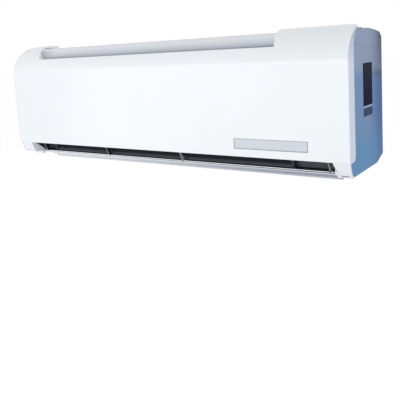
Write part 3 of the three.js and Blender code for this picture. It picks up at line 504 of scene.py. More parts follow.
lens = slab("display_lens", rounded(*LENS, 1.5), 0.2, WALL)
soften(lens, 0.4, lambda a, b: a[1] < 0.3 and b[1] < 0.3, 3, 35)
smoked = Finish("smoked_lens", Specular_IOR_Level=0.6, Coat_Weight=0.6, Coat_Roughness=0.05)
rise = smoked.height()
sideways = abs(smoked.across() - (LENS[0] + LENS[1]) / 2)
half_lens = (LENS[1] - LENS[0]) / 2
inside = (1 - rise.ramp(LENS[3] - 1.2, LENS[3] - 0.5)) * rise.ramp(LENS[2] + 1.2, LENS[2] + 2)
inside = inside * (1 - sideways.ramp(half_lens - 2.2, half_lens - 1.4))
clouds = smoked.noise(25, 2, (1, 1, 4))
smoke = smoked.mix(clouds, tone(192, 197, 209), tone(200, 205, 216))
smoked.set(
    Base_Color=smoked.mix(inside, tone(158, 165, 178), smoke),
    Roughness=0.12 + 0.06 * smoked.noise(60, 3),
    Normal=smoked.bump(smoked.noise(1200, 2), 0.1, 0.00002),
)
finished(lens, smoked, "window_tint", "display_window", body="panel")


# Casing. The front frame is one deep moulding: end faces, the beam that shows between the
# panel's shoulders, cheeks under the panel, and the struts of the outlet. Its ends are painted
# steel blue with painted reflection and shade over it, and its front and beam are white, with
# painted shade on the beam's foot and left end, deep painted shade inside the outlet and a
# lighter painted shade on its struts.
SIDE_PLATE = (72, 125, 88, 164)
STRUTS = (-371, -162, 49, 372)


def reworked(node, name):
    """A merged copy of a CAD node, as one clean mesh."""
    bm = bmesh.new()
    bm.from_mesh(nodes[node].data)
    cleaned(bm)
    return poured(name, bm)


casing = reworked("front_frame", "casing")
soften(casing, 2.2, on_end, 4, 12)
cheek_profile = [(7, -0.7), (8, -7), (12.5, -19), (17, -24.5), (24, -26.6), (29, -26.6), (29, -0.7)]
corner_wall = prism("corner_wall", cheek_profile, 386, 399)
slant = slab("slant", [(388, 0), (389.4, 0), (398.2, -28), (396.8, -28)], 0, 40)
combine(corner_wall, "INTERSECT", slant)
back_profile = [(27, -0.7), (28.2, -0.7), (28.2, -26.6), (27, -26.6)]
corner_back = prism("corner_back", back_profile, 386, 399)
near_side = slab("near_side", [(386.5, 0), (389, 0), (397.8, -28), (386.5, -28)], 0, 40)
combine(corner_back, "INTERSECT", near_side)
cut_profile = [(384.5, -0.75), (388.1, -0.75), (396.8, -28), (384.5, -28)]
combine(casing, "DIFFERENCE", slab("corner_cut", cut_profile, -1, 27.5))
combine(casing, "UNION", corner_wall, corner_back)
plate_outline = rounded(*SIDE_PLATE, 2)
pocket = prism("plate_pocket", plate_outline, HALF_WIDTH - 0.7, HALF_WIDTH + 1)
combine(casing, "DIFFERENCE", pocket)
casing_gloss = Finish("casing_gloss", Specular_IOR_Level=0.02)
mix = casing_gloss.mix
sideways = casing_gloss.across()
across = abs(sideways)
behind = casing_gloss.behind()
height = casing_gloss.height()
sway = 8 * (casing_gloss.noise(9, 2) - 0.5)
end_face = across.ramp(HALF_WIDTH - 4, HALF_WIDTH - 0.6)
# Painted reflection and shade on the ends: lavender towards the top, blue below, both darker
# towards the back.
upper = (height + sway + 0.06 * behind).ramp(140, 164)
rear = (behind + sway).ramp(95, 178)
blue = mix(rear, tone(118, 151, 192), tone(80, 110, 164))
lavender = mix(rear, tone(146, 164, 192), tone(112, 127, 152))
painted = mix(upper, blue, lavender)
low_front_reflection = (1 - (height + sway).ramp(6, 70)) * (1 - 0.6 * rear)
reflection_edge = (1 - abs(height + sway + 0.06 * behind - 152).ramp(1, 12)) * rear
top_corner_shade = (behind + 0.35 * height + sway).ramp(215, 262)
seam_height = 199.4 - 0.077 * behind
seam = 1 - abs(height - seam_height).ramp(0.5, 1.1)
by_plate = (1 - abs(behind - 98.5).ramp(25, 27)) * sideways.ramp(0, 1)
below_plate = by_plate * (1 - abs(height - 76.8).ramp(6, 8.6))
light_line = by_plate * (1 - abs(height - 86.6).ramp(0.5, 1.1))
# Painted reflection and shade on the ends: bluer towards the bottom front, a darker line where
# lavender meets blue towards the back, and darker towards the top rear corner; then a dark seam, a
# dark bar below the side plate and a light line under it.
for place, strength, colour in (
    (low_front_reflection, 0.8, (98, 148, 192)),
    (reflection_edge, 0.5, (60, 72, 108)),
    (top_corner_shade, 0.75, (62, 72, 92)),
    (seam, 0.35, (96, 110, 136)),
    (below_plate, 0.95, (44, 54, 96)),
    (light_line, 0.7, (196, 206, 222)),
):
    painted = mix(place * strength, painted, tone(*colour))
white = mix(casing_gloss.noise(6, 2), tone(236, 240, 245), tone(241, 244, 249))
# Painted shade: the beam darkens towards its foot, under the panel's top edge, and towards its left
# end.
beam_foot_shade = (1 - height.ramp(194, 227)) * height.ramp(180, 190) * (1 - behind.ramp(60, 70))
white = mix(beam_foot_shade, white, tone(178, 184, 195))
far_end_shade = (0 - sideways).ramp(300, 352) * (1 - height.ramp(214, 226)) * height.ramp(180, 190)
white = mix(far_end_shade * (1 - behind.ramp(60, 70)) * 0.8, white, tone(172, 184, 198))
# Painted shade: the white frame's inside behind the outlet is painted near black, up the right
# corner wall's slant, sparing the front of the end walls.
duct_reach = 387.2 + sideways.ramp(0, 1) * (1.2 - 0.314 * height)
below = 1 - height.ramp(-3, 0)
painted_duct_shade = (1 - (across - duct_reach).ramp(-0.5, 0.5)) * below * behind.ramp(13, 20)
end_wall = across.ramp(382, 384)
painted_duct_shade = painted_duct_shade * (1 - end_wall * (1 - (behind + 1.43 * height).ramp(11, 14)))
white = mix(painted_duct_shade, white, tone(40, 45, 58))
# Painted shade: the struts are painted a mid grey, lighter than the shade round them.
for place in STRUTS:
    on_strut = (1 - abs(sideways - place).ramp(1.6, 2.2)) * below
    white = mix(on_strut * (1 - behind.ramp(46, 50)), white, tone(160, 166, 178))
fine_grain = casing_gloss.noise(900, 4)
casing_gloss.set(
    Base_Color=mix(end_face, white, painted),
    Roughness=0.28 + 0.08 * (casing_gloss.noise(35, 3) - 0.5),
    Normal=casing_gloss.bump(fine_grain, 0.25, 0.00004),
)
finished(casing, casing_gloss, "casing_blue", "front_frame")


# Side plate. A thin bare plate of dark acrylic, cut with rounded corners and bonded into a
# shallow pocket of the right end face.
PLATE_SHRINK = 0.992
side_plate = prism("side_plate", plate_outline, HALF_WIDTH - 0.65, HALF_WIDTH - 0.05)
middle = ((SIDE_PLATE[0] + SIDE_PLATE[1]) / 2, (SIDE_PLATE[2] + SIDE_PLATE[3]) / 2)
for vertex in side_plate.data.vertices:
    x, d, h = unit(vertex.co)
    depth = middle[0] + (d - middle[0]) * PLATE_SHRINK
    vertex.co = at(x, depth, middle[1] + (h - middle[1]) * PLATE_SHRINK)
soften(side_plate, 0.25, lambda a, b: a[0] > HALF_WIDTH - 0.1 and b[0] > HALF_WIDTH - 0.1, 2, 35)
dark_acrylic = Finish("dark_acrylic", Specular_IOR_Level=0.0)
haze = dark_acrylic.noise(14, 3, (1, 1, 2))
upper_part = (dark_acrylic.height() + 16 * (haze - 0.5)).ramp(96, 158)
dark_acrylic.set(
    Base_Color=dark_acrylic.mix(upper_part, tone(42, 44, 64), tone(50, 56, 70)),
    Roughness=0.3 + 0.1 * dark_acrylic.noise(50, 3),
    Normal=dark_acrylic.bump(dark_acrylic.noise(700, 3), 0.12, 0.00002),
)
finished(side_plate, dark_acrylic, "casing_blue")


# Outlet flap. A slim blade extruded in white plastic, with a round bead on its pivot line and
# a lip along its free edge, painted with shade that deepens towards the right end, most on its
# underside, and a painted shadow line along its top edge. It hangs open under the outlet.
flap = reworked("outlet_flap", "outlet_flap_blade")
flap_gloss = moulded("flap_gloss", (232, 236, 243), -2, 2, 0.0, 0.24)
# Painted shade: bead, underside and lip grow darker towards the right end, the underside most.
flap_shade_ramp = flap_gloss.across().ramp(-330, 380)
drop = flap_gloss.height()
bead = flap_gloss.mix(flap_shade_ramp, tone(236, 239, 245), tone(206, 212, 228))
underside = flap_gloss.mix(flap_shade_ramp, tone(236, 239, 245), tone(146, 152, 170))
lip = flap_gloss.mix(flap_shade_ramp, tone(226, 230, 236), tone(196, 202, 214))
body_tone = flap_gloss.mix(drop.ramp(-33, -31.6), underside, bead)
body_tone = flap_gloss.mix(drop.ramp(-44.6, -43.4), lip, body_tone)
shadow_line = drop.ramp(-28.6, -28) * flap_shade_ramp
flap_gloss.set(Base_Color=flap_gloss.mix(shadow_line, body_tone, tone(84, 90, 104)))
finished(flap, flap_gloss, "panel_white", "outlet_flap", body="flap")


# Panel ribs. Low stiffening ribs moulded on the panel's back, upright and evenly spaced, each
# with its foot on the wall and its edges drafted; they start above the window.
RIB_PITCH = 51
RIB_COUNT = 16
RIB_FOOT, RIB_HEAD = 40, 168


class Tree(Nodes):
    """A Geometry Nodes tree with named inputs that is baked to a plain mesh."""

    def __init__(self, name, **inputs):
        inputs = {"Part": "Object", **inputs, "Material": "Material"}
        group = bpy.data.node_groups.new(name, "GeometryNodeTree")
        super().__init__(group)
        self.keys = {}
        for label, kind in inputs.items():
            kind = "NodeSocket" + kind
            made = group.interface.new_socket(label, in_out="INPUT", socket_type=kind)
            self.keys[label] = made.identifier
        group.interface.new_socket("Geometry", in_out="OUTPUT", socket_type="NodeSocketGeometry")
        entry = group.nodes.new("NodeGroupInput")
        self.given = {label: Value(self, entry.outputs[label]) for label in inputs}

    def shape(self, label):
        """The geometry of an object that the tree is given."""
        return self.node("GeometryNodeObjectInfo", {"Object": self.given[label]}, "Geometry")

    def copies(self, points, turn=(0, 0, 0)):
        """Ends the tree with the part on every point, turned, made real and painted."""
        values = {"Points": points, "Instance": self.shape("Part"), "Rotation": turn}
        placed = self.node("GeometryNodeInstanceOnPoints", values)
        real = self.node("GeometryNodeRealizeInstances", {"Geometry": placed})
        values = {"Geometry": real, "Material": self.given["Material"]}
        painted = self.node("GeometryNodeSetMaterial", values)
        out = self.tree.nodes.new("NodeGroupOutput")
        self.tree.links.new(painted.socket, out.inputs[0])

    def bake(self, name, part, finish, **inputs):
        """The tree's result as one plain mesh; the objects that it read are removed."""
        inputs.update(Part=part, Material=finish.material)
        piece = linked(name, bpy.data.meshes.new(name))
        step = piece.modifiers.new("pattern", "NODES")
        step.node_group = self.tree
        for label, value in inputs.items():
            step[self.keys[label]] = value
        piece.update_tag()
        bpy.context.view_layer.update()
        settle(piece)
        for value in inputs.values():
            if isinstance(value, bpy.types.Object):
                bpy.data.objects.remove(value)
        return piece


row = Tree("row", Count="Int", Step="Vector")
values = {"Count": row.given["Count"], "Offset": row.given["Step"]}
row.copies(row.node("GeometryNodeMeshLine", values, mode="OFFSET"))


def repeated(name, part, count, step, finish, slot, *replaced, back=0, **rest):
    """A finished row of copies of a part, with steps in mm across and back."""
    distance = [step / 1000, back / 1000, 0.0]
    piece = row.bake(name, part, finish, Count=count, Step=distance)
    finished(piece, finish, slot, *replaced, **rest)


rib_outline = [(-383.5, RIB_FOOT), (-381.5, RIB_FOOT), (-381.9, RIB_HEAD), (-383.1, RIB_HEAD)]
rib_shape = slab("rib", rib_outline, WALL - 0.2, WALL + 3.4)
repeated(
    "panel_ribs", rib_shape, RIB_COUNT, RIB_PITCH, gloss_white, "panel_white", body="panel"
)


# Screws. Zinc-plated pan heads with a cross recess, driven into the mouldings; every row of
# them is made from one head.
PLATE_SCREW_X = 270
PLATE_SCREW_DEPTH = 187.2


def circle(centre, one, two, radius, sides):
    """Points round a centre, in the plane of two directions."""
    turns = [2 * math.pi * i / sides for i in range(sides)]
    return [centre + (one * math.cos(t) + two * math.sin(t)) * radius / 1000 for t in turns]


def skinned(name, rings):
    """A closed skin over rings of points, with a face at each end."""
    bm = bmesh.new()
    rings = [[bm.verts.new(p) for p in ring] for ring in rings]
    for one, two in zip(rings, rings[1:]):
        for i in range(len(one)):
            j = (i + 1) % len(one)
            bm.faces.new((one[i], one[j], two[j], two[i]))
    bm.faces.new(rings[0])
    bm.faces.new(rings[-1])
    return new_piece(name, bm)


def turned(name, profile, start, way, sides):
    """A profile of distance along and radius, turned about an axis from start."""
    way = Vector(way).normalized()
    across = way.orthogonal().normalized()
    third = way.cross(across)
    return skinned(name, [
        circle(start + way * along / 1000, across, third, radius, sides)
        for along, radius in profile
    ])


def screw_head(name, x, d, h, way, radius):
    """A pan head that stands on the point x, d, h and faces along way."""
    shares = ((0.3, 0.97), (0.52, 0.8), (0.64, 0.5))
    dome = [(-1.2, radius * 0.55), (0, radius * 0.55), (0, radius)]
    dome += [(radius * along, radius * out) for along, out in shares]
    head = turned(name, [*dome, (radius * 0.67, 0.1)], at(x, d, h), way, 20)
    way = Vector(way).normalized()
    side = way.orthogonal().normalized()
    top = at(x, d, h) + way * radius * 0.67 / 1000
    for a, b in ((side, way.cross(side)), (way.cross(side), side)):
        reach = [a * radius * 0.55 / 1000, b * radius * 0.11 / 1000, way * radius * 0.34 / 1000]
        ring = [top + reach[0] * i + reach[1] * j for i, j in ((-1, -1), (1, -1), (1, 1), (-1, 1))]
        bar = extruded("cross", [p - reach[2] for p in ring], [p + reach[2] for p in ring])
        combine(head, "DIFFERENCE", bar)
    return head


def metal(name, dark, light, low, high, scale, stretch=(1, 1, 1)):
    """Bare metal: uneven tone, and gloss that varies along the grain."""
    made = Finish(name, Metallic=1.0)
    grain = made.noise(scale, 4, stretch)
    cloud = made.noise(18, 3)
    made.set(
        Base_Color=made.mix(0.6 * grain + 0.4 * cloud, tone(*dark), tone(*light)),
        Roughness=low + (high - low) * grain,
        Normal=made.bump(grain, 0.2, 0.00003),
    )
    return made


zinc_plate = metal("zinc_plate", (150, 152, 156), (202, 204, 206), 0.25, 0.42, 700)
for name, h in (("plate_screws", 35), ("plate_screws_top", 171)):
    head = screw_head("wall_screw", -PLATE_SCREW_X, PLATE_SCREW_DEPTH, h, (0, -1, 0), 3.6)
    repeated(name, head, 2, 2 * PLATE_SCREW_X, zinc_plate, "galvanised_steel")


# Display board. A small coated board in a carrier clipped behind the window, with a row of
# lamps on it, and the emergency button beside it under the panel.
board_green = Finish("board_green", Specular_IOR_Level=0.5)
values = {"Vector": board_green.place, "Scale": 260}
lands = board_green.node("ShaderNodeTexVoronoi", values, distance="MANHATTAN")
board_green.set(
    Base_Color=board_green.mix(lands.ramp(0.25, 0.32), tone(122, 138, 96), tone(30, 92, 56)),
    Roughness=0.32 + 0.2 * board_green.noise(300, 2),
    Normal=board_green.bump(lands, 0.3, 0.00005),
)


def dressed(finish, *names):
    """Gives kept nodes their finish."""
    for name in names:
        for place in nodes[name].material_slots:
            place.material = finish.material


dressed(board_green, "display_board", "control_board")
lamp_clear = moulded("lamp_clear", (226, 224, 210), -6, 6, 0.0, 0.18)
LAMP_COUNT, LAMP_PITCH = 6, 15
lamp_shape = slab("lamp", arc((228, 25.5), 1.5, 0, 330, 11), 10.4, 12.2)
repeated("display_lamps", lamp_shape, LAMP_COUNT, LAMP_PITCH, lamp_clear, "window_tint", angle=None)
button = reworked("emergency_button", "button_cap")
soften(button, 0.5, lambda a, b: max(a[1], b[1]) < 14.7, 3, 50)
finished(button, gloss_white, "panel_white", "emergency_button", body="button")


# Vertical louvres. Ten thin blades moulded in dark plastic that turn on pins in the duct's
# floor, in two groups, each group led by a flat link bar over its top pins.
LOUVRE_COUNT = 10
duct_charcoal = moulded("duct_charcoal", (46, 50, 62), -5, 5, 0.4, 0.5)
for number in range(1, LOUVRE_COUNT + 1):
    name = f"vertical_louvre_{number}"
    louvre = reworked(name, f"louvre_blade_{number}")
    soften(louvre, 0.45)
    finished(louvre, duct_charcoal, "duct_grey", name, body=f"louvre_{number}")
dressed(duct_charcoal, "louvre_link_left", "louvre_link_right")


# Top grille. A satin grey moulding let into the casing's top: a rim with slim slats from
# front to back, close enough to keep fingers out, and one bar across their middle.
SLAT_COUNT, SLAT_PITCH = 123, 6.39
satin_grey = moulded("satin_grey", (112, 117, 128), -4, 4, 0.4, 0.42)
grille_top = [(118, 225.2), (120.5, 225.1), (146, 223.3), (160.5, 221.3), (170.5, 219.3)]
rim = reworked("top_grille", "grille_rim")
combine(rim, "DIFFERENCE", block("grille_opening", -391, 391, 118.6, 170.4, 200, 240))
finished(rim, satin_grey, "grille_grey", "top_grille")
slat_top = [(d, h - 0.3) for d, h in grille_top]
slat = prism("slat", slat_top + [(d, h - 3.2) for d, h in reversed(slat_top)], -390.6, -389)
soften(slat, 0.35, lambda a, b: a[2] > 218 and b[2] > 218 and abs(a[0] - b[0]) < 0.01)
repeated("grille_slats", slat, SLAT_COUNT, SLAT_PITCH, satin_grey, "grille_grey")
bar_profile = [(143, 222.6), (147, 222.2), (147, 219.6), (143, 219.6)]
cross_bar = prism("grille_cross_bar", bar_profile, -392, 392)
soften(cross_bar, 0.5)
finished(cross_bar, satin_grey, "grille_grey")


# Air filters. Two dark moulded frames that bend from the front over the top, each carrying a
# fine woven net; they slide up and out once the panel is open.
FILTER_DEPTH = 29.4
FILTER_THICK = 2.4
CELL_COLUMNS = 5
CELL_ROWS = ((24, 66), (69, 111), (114, 152))
CELL_BAR = 3
NET_PITCH = 3.4
along = Tree("along", Path="Object", Spacing="Float")
curve = along.node("GeometryNodeMeshToCurve", {"Mesh": along.shape("Path")})
values = {"Curve": curve, "Length": along.given["Spacing"]}
along.copies(along.node("GeometryNodeResampleCurve", values, mode="LENGTH"))
filter_path = [
    (FILTER_DEPTH, 15),
    *bezier((FILTER_DEPTH, 160), (FILTER_DEPTH, 186), (56, 204), (82, 206), 10),
    (150, 207),
]
filter_dark = moulded("filter_dark", (62, 66, 78), -4, 4, 0.3, 0.5)
net_grey = moulded("net_grey", (84, 88, 100), -6, 6, 0.2, 0.6)
for side in ("left", "right"):
    name = f"air_filter_{side}"
    x0, x1 = [1000 * corner[0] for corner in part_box(name)]
    outer = beside(filter_path, FILTER_THICK)
    frame_shape = prism(f"filter_frame_{side}", [*filter_path, *reversed(outer)], x0, x1)
    pitch = (x1 - x0 - 15) / CELL_COLUMNS
    cells = []
    for column in range(CELL_COLUMNS):
        x = x0 + 9 + column * pitch
        for edges in CELL_ROWS:
            depths = (FILTER_DEPTH - 2, FILTER_DEPTH + 9)
            cells.append(block("cell", x, x + pitch - CELL_BAR, *depths, *edges))
        cells.append(block("cell", x, x + pitch - CELL_BAR, 86, 142, 190, 215))
    combine(frame_shape, "DIFFERENCE", *cells)
    finished(frame_shape, filter_dark, "filter_grey", name)
    strand_outline = [*beside(filter_path, 0.8), *reversed(beside(filter_path, 1.1))]
    strand = prism("strand", strand_outline, x0 + 8, x0 + 8.3)
    count = int((x1 - x0 - 16) / NET_PITCH)
    repeated(f"net_up_{side}", strand, count, NET_PITCH, net_grey, "filter_grey", angle=None)
    bm = bmesh.new()
    ends = [bm.verts.new(at(0, d, h)) for d, h in beside(filter_path, 1.0)]
    for a, b in zip(ends, ends[1:]):
        bm.edges.new((a, b))
    guide = poured("net_path", bm)
    start = Vector(((x0 + 7) / 1000, 0, 0))
    thread = turned("thread", [(0, 0.16), (x1 - x0 - 14, 0.16)], start, (1, 0, 0), 4)
    spacing = NET_PITCH / 1000
    weft = along.bake(f"net_across_{side}", thread, net_grey, Path=guide, Spacing=spacing)
    finished(weft, net_grey, "filter_grey", angle=None)


# Evaporator. Three packs of thin aluminium fins pressed on copper tubes, bent round the fan,
# with a sheet at each end and the tubes' return bends standing out of it.
PACKS = {
    "evaporator_front_lower": ((42, 34.3), (42, 112)),
    "evaporator_front_upper": ((42, 126), (88, 196)),
    "evaporator_rear": ((125.5, 195), (166, 127)),
}
FIN_LEFT, FIN_RIGHT = -350, 306
FIN_DEPTH = 20
FIN_PITCH = 2.1
TUBE_PITCH = 25.4
TUBE_ROW = 5
BEND_STEPS = 12
BEND_LEAD = 5
PACK_ENDS = ((-1, FIN_LEFT - 0.3), (1, FIN_RIGHT + 0.3))
LINK_PLATES = (
    [(46, 106), (60, 106), (60, 122), (52, 136), (46, 130)],
    [(86, 188), (97, 176), (116, 176), (124, 188), (118, 194), (92, 194)],
)
FAN_AXIS = (120, 70)


def on_pack(foot, head):
    """Turns a length along a pack and a depth into it to depth and height."""
    length = math.dist(foot, head)
    way = ((head[0] - foot[0]) / length, (head[1] - foot[1]) / length)
    inward = (way[1], -way[0])
    if inward[0] * (FAN_AXIS[0] - foot[0]) + inward[1] * (FAN_AXIS[1] - foot[1]) < 0:
        inward = (-inward[0], -inward[1])
    return length, lambda u, v: (
        foot[0] + u * way[0] + v * inward[0], foot[1] + u * way[1] + v * inward[1]
    )


def tube(name, points, radius, sides=12):
    """A round tube through points, closed at both ends."""
    rings = []
    normal = (points[1] - points[0]).orthogonal().normalized()
    for i, point in enumerate(points):
        way = (points[min(i + 1, len(points) - 1)] - points[max(i - 1, 0)]).normalized()
        normal = (normal - way * normal.dot(way)).normalized()
        rings.append(circle(point, normal, way.cross(normal), radius, sides))
    return skinned(name, rings)


def joined(name, parts):
    """Several closed bodies as one mesh."""
    bm = bmesh.new()
    for part in parts:
        bm.from_mesh(part.data)
    for part in parts:
        bpy.data.objects.remove(part)
    return poured(name, bm)


fin_aluminium = metal("fin_aluminium", (176, 182, 190), (214, 218, 222), 0.3, 0.5, 60, (1, 6, 1))
copper_drawn = metal("copper_drawn", (150, 84, 54), (206, 132, 92), 0.22, 0.42, 120, (0.2, 1, 1))
sheet_metal = metal("sheet_metal", (150, 154, 160), (196, 200, 204), 0.32, 0.5, 90)
sheet_bodies = {-1: [], 1: []}
bend_bodies = {-1: [], 1: []}
tube_bodies = []
tube_profile = [(0, 3.1), (FIN_RIGHT - FIN_LEFT, 3.1)]
for name, (foot, head) in PACKS.items():
    length, on = on_pack(foot, head)
    first, last = 0.3, length - 0.3
    outline = [on(first, 0.2), on(last, 0.2), on(last, FIN_DEPTH), on(first, FIN_DEPTH)]
    fin = prism("fin", outline, FIN_LEFT, FIN_LEFT + 0.35)
    count = int((FIN_RIGHT - FIN_LEFT) / FIN_PITCH)
    look = (fin_aluminium, "fin_aluminium", name)
    repeated(f"{name}_fins", fin, count, FIN_PITCH, *look, angle=None)
    count = int(length // TUBE_PITCH)
    start = (length - (count - 1) * TUBE_PITCH) / 2
    for i in range(count):
        u = start + i * TUBE_PITCH
        for row_shift in (-TUBE_ROW, TUBE_ROW):
            foot_of_tube = at(FIN_LEFT, *on(u, FIN_DEPTH / 2 + row_shift))
            tube_bodies.append(turned("tube", tube_profile, foot_of_tube, (1, 0, 0), 12))
        for side, face in PACK_ENDS:
            path = [at(face, *on(u, FIN_DEPTH / 2 - TUBE_ROW))]
            for k in range(BEND_STEPS + 1):
                turn = math.pi * k / BEND_STEPS
                x = face + side * (BEND_LEAD + TUBE_ROW * math.sin(turn))
                path.append(at(x, *on(u, FIN_DEPTH / 2 - TUBE_ROW * math.cos(turn))))
            path.append(at(face, *on(u, FIN_DEPTH / 2 + TUBE_ROW)))
            bend_bodies[side].append(tube("bend", path, 3))
    for side, face in PACK_ENDS:
        far = length - 1
        outline = [on(1, 1), on(far, 1), on(far, FIN_DEPTH - 1), on(1, FIN_DEPTH - 1)]
        sheet_bodies[side].append(prism("sheet", outline, *sorted((face, face + side * 1.5))))
        if foot[1] < 100:
            faces = sorted((face + side * 0.1, face + side * 1.4))
            for link in LINK_PLATES:
                sheet_bodies[side].append(prism("link", link, *faces))
through_tubes = joined("evaporator_tubes", tube_bodies)
finished(through_tubes, copper_drawn, "copper_tube")
for side, word in ((-1, "left"), (1, "right")):
    end_sheet = joined(f"end_sheet_{word}", sheet_bodies[side])
    finished(end_sheet, sheet_metal, "galvanised_steel", angle=None)
    bends = joined(f"return_bends_{word}", bend_bodies[side])
    finished(bends, copper_drawn, "copper_tube", f"tube_sheet_{word}", angle=60)


# Refrigerant pipes. Soft copper from the right end sheet down the back and along the channel,
# each ending in a flare nut, and one clamp over both.
PIPE_X = 366
CHANNEL_DEPTH = 170


def smooth_path(points, steps):
    """A centripetal spline through points."""
    points = [points[0] * 2 - points[1], *points, points[-1] * 2 - points[-2]]
    path = []
    for a, b, c, e in zip(points, points[1:], points[2:], points[3:]):
        gaps = [max((q - p).length ** 0.5, 1e-6) for p, q in ((a, b), (b, c), (c, e))]
        first = (b - a) / gaps[0] - (c - a) / (gaps[0] + gaps[1]) + (c - b) / gaps[1]
        last = (c - b) / gaps[1] - (e - b) / (gaps[1] + gaps[2]) + (e - c) / gaps[2]
        first, last = first * gaps[1], last * gaps[1]
        for i in range(steps):
            t = i / steps
            path.append(
                b + first * t + (3 * (c - b) - 2 * first - last) * t * t
                + (2 * (b - c) + first + last) * t**3
            )
    return path + [points[-2]]


on_rear = on_pack(*PACKS["evaporator_rear"])[1]
for name, turns, x, height, end, radius in (
    ("gas_pipe", 2.05, PIPE_X, 10, PIPE_X - 216, 4.75),
    ("liquid_pipe", 1.05, PIPE_X + 14, -2, PIPE_X - 176, 3.2),
):
    d, h = on_rear(turns * TUBE_PITCH, FIN_DEPTH / 2)
    lead = FIN_RIGHT + 2.1
    stops = [
        (lead, d, h),
        (lead + 16, d, h),
        (x - 10, CHANNEL_DEPTH - 12, h - 6),
        (x, CHANNEL_DEPTH - 2, h - 24),
        (x, CHANNEL_DEPTH - 1, height + 40),
        (x, CHANNEL_DEPTH, height + 18),
        (x - 18, CHANNEL_DEPTH, height),
        (x - 50, CHANNEL_DEPTH, height),
        (end, CHANNEL_DEPTH, height),
    ]
    pipe = tube(f"{name}_run", smooth_path([at(*stop) for stop in stops], 8), radius, 20)
    finished(pipe, copper_drawn, "copper_tube", name, angle=50)
brass_turned = metal("brass_turned", (160, 122, 58), (214, 178, 102), 0.2, 0.38, 400, (6, 1, 1))
for name in ("gas_flare_nut", "liquid_flare_nut"):
    nut = reworked(name, f"{name}_body")
    soften(nut, 0.6, angle=40)
    finished(nut, brass_turned, "nut_brass", name)
clamp = reworked("pipe_clamp", "pipe_clamp_body")
soften(clamp, 0.6)
finished(clamp, satin_grey, "grille_grey", "pipe_clamp")


# Cross-flow fan. A long rotor of thin curved blades, moulded in black plastic and welded to
# discs, turned by a hub at the right end and carried by a stub shaft at the left.
FAN_LEFT, FAN_RIGHT = -333, 291
FAN_RADIUS = 46
BLADES = 35
BLADE_STEPS = 8
BLADE_CHORD = 11
BLADE_CAMBER = 1.9
BLADE_TILT = math.radians(64)
DISC_THICK = 2
ring = Tree("ring", Count="Int", Pivot="Vector")
count = ring.given["Count"]
values = {"Count": count, "Start Location": ring.given["Pivot"], "Offset": (0, 0, 0)}
points = ring.node("GeometryNodeMeshLine", values, mode="OFFSET")
number = ring.node("GeometryNodeInputIndex")
turn = ring.node("ShaderNodeCombineXYZ", {0: number * (2 * math.pi) / count})
ring.copies(points, turn)
fan_black = moulded("fan_black", (52, 55, 62), -4, 4, 0.3, 0.45)
blade_outline = []
steps = range(BLADE_STEPS + 1)
for side, order in ((-1, steps), (1, reversed(steps))):
    for step in order:
        share = step / BLADE_STEPS - 0.5
        u = share * BLADE_CHORD
        v = BLADE_CAMBER * (1 - 4 * share * share) + side * 0.5 * (1 - 1.4 * share * share)
        radial = u * math.sin(BLADE_TILT) - v * math.cos(BLADE_TILT)
        tangent = u * math.cos(BLADE_TILT) + v * math.sin(BLADE_TILT)
        blade_outline.append((FAN_RADIUS - 6 + radial, tangent))
blade = extruded(
    "blade",
    [Vector((FAN_LEFT + 0.5, d, h)) / 1000 for d, h in blade_outline],
    [Vector((FAN_RIGHT - 0.5, d, h)) / 1000 for d, h in blade_outline],
)
blades = ring.bake("fan_blades", blade, fan_black, Count=BLADES, Pivot=at(0, *FAN_AXIS))
finished(blades, fan_black, "fan_black", body="fan", angle=40)
middle = (FAN_LEFT + FAN_RIGHT) / 2
end_disc = [(0, 4.4), (0, FAN_RADIUS - 0.4), (0.4, FAN_RADIUS), (1.6, FAN_RADIUS)]
end_disc += [(DISC_THICK, FAN_RADIUS - 0.4), (DISC_THICK, 4.4)]
inner_disc = [(0, 33.5), (0, FAN_RADIUS), (DISC_THICK, FAN_RADIUS), (DISC_THICK, 33.5)]
discs = [(end_disc, FAN_LEFT), (end_disc, FAN_RIGHT - DISC_THICK)]
discs += [(inner_disc, x) for x in ((FAN_LEFT + middle) / 2, middle, (FAN_RIGHT + middle) / 2)]
parts = [turned("disc", profile, at(x, *FAN_AXIS), (1, 0, 0), 64) for profile, x in discs]
hub = [(0, 10), (1, 11), (22, 11)]
parts.append(turned("hub", hub, at(FAN_RIGHT - 24, *FAN_AXIS), (1, 0, 0), 40))
rotor = joined("fan_discs", parts)
finished(rotor, fan_black, "fan_black", "cross_flow_fan", body="fan")
steel_ground = metal("steel_ground", (120, 124, 130), (190, 194, 198), 0.18, 0.34, 500, (8, 1, 1))
dressed(steel_ground, "fan_stub_shaft", "motor_shaft", "flap_motor")
black_rubber = moulded("black_rubber", (30, 30, 32), -4, 6, 0.8, 0.85)
dressed(black_rubber, "fan_bearing", "drain_plug")


# Fan motor. A resin-cast can with rounded shoulders and a stepped nose, held down in the
# chassis by a moulded strap with a screw at each foot.
MOTOR_LEFT = 305
STRAP_FOOT = 4.5
motor_resin = moulded("motor_resin", (122, 124, 130), -8, 8, 0.7, 0.6)
motor_profile = [
    (0, 4.4), (0, 15), (1, 16), (5, 16), (5, 36), (6, 38.4), (8, 41), (10.5, 42),
    (38, 42), (40.5, 41), (42, 38.4), (42, 18), (51, 16), (52, 15), (52, 1),
]
motor = turned("motor_can", motor_profile, at(MOTOR_LEFT, *FAN_AXIS), (1, 0, 0), 72)
finished(motor, motor_resin, "motor_resin", "fan_motor")
chassis_slate = moulded("chassis_slate", (58, 62, 72), -4, 4, 0.6, 0.55)
strap = reworked("motor_clamp", "motor_strap")
soften(strap, 0.6)
finished(strap, chassis_slate, "chassis_grey", "motor_clamp")
strap_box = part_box("motor_clamp")
strap_top = 1000 * strap_box[0][2] + PLATE_CENTRE + 3
strap_left, strap_right = [1000 * c[0] for c in strap_box]
strap_front, strap_back = [1000 * c[1] + UNIT_DEPTH for c in strap_box]
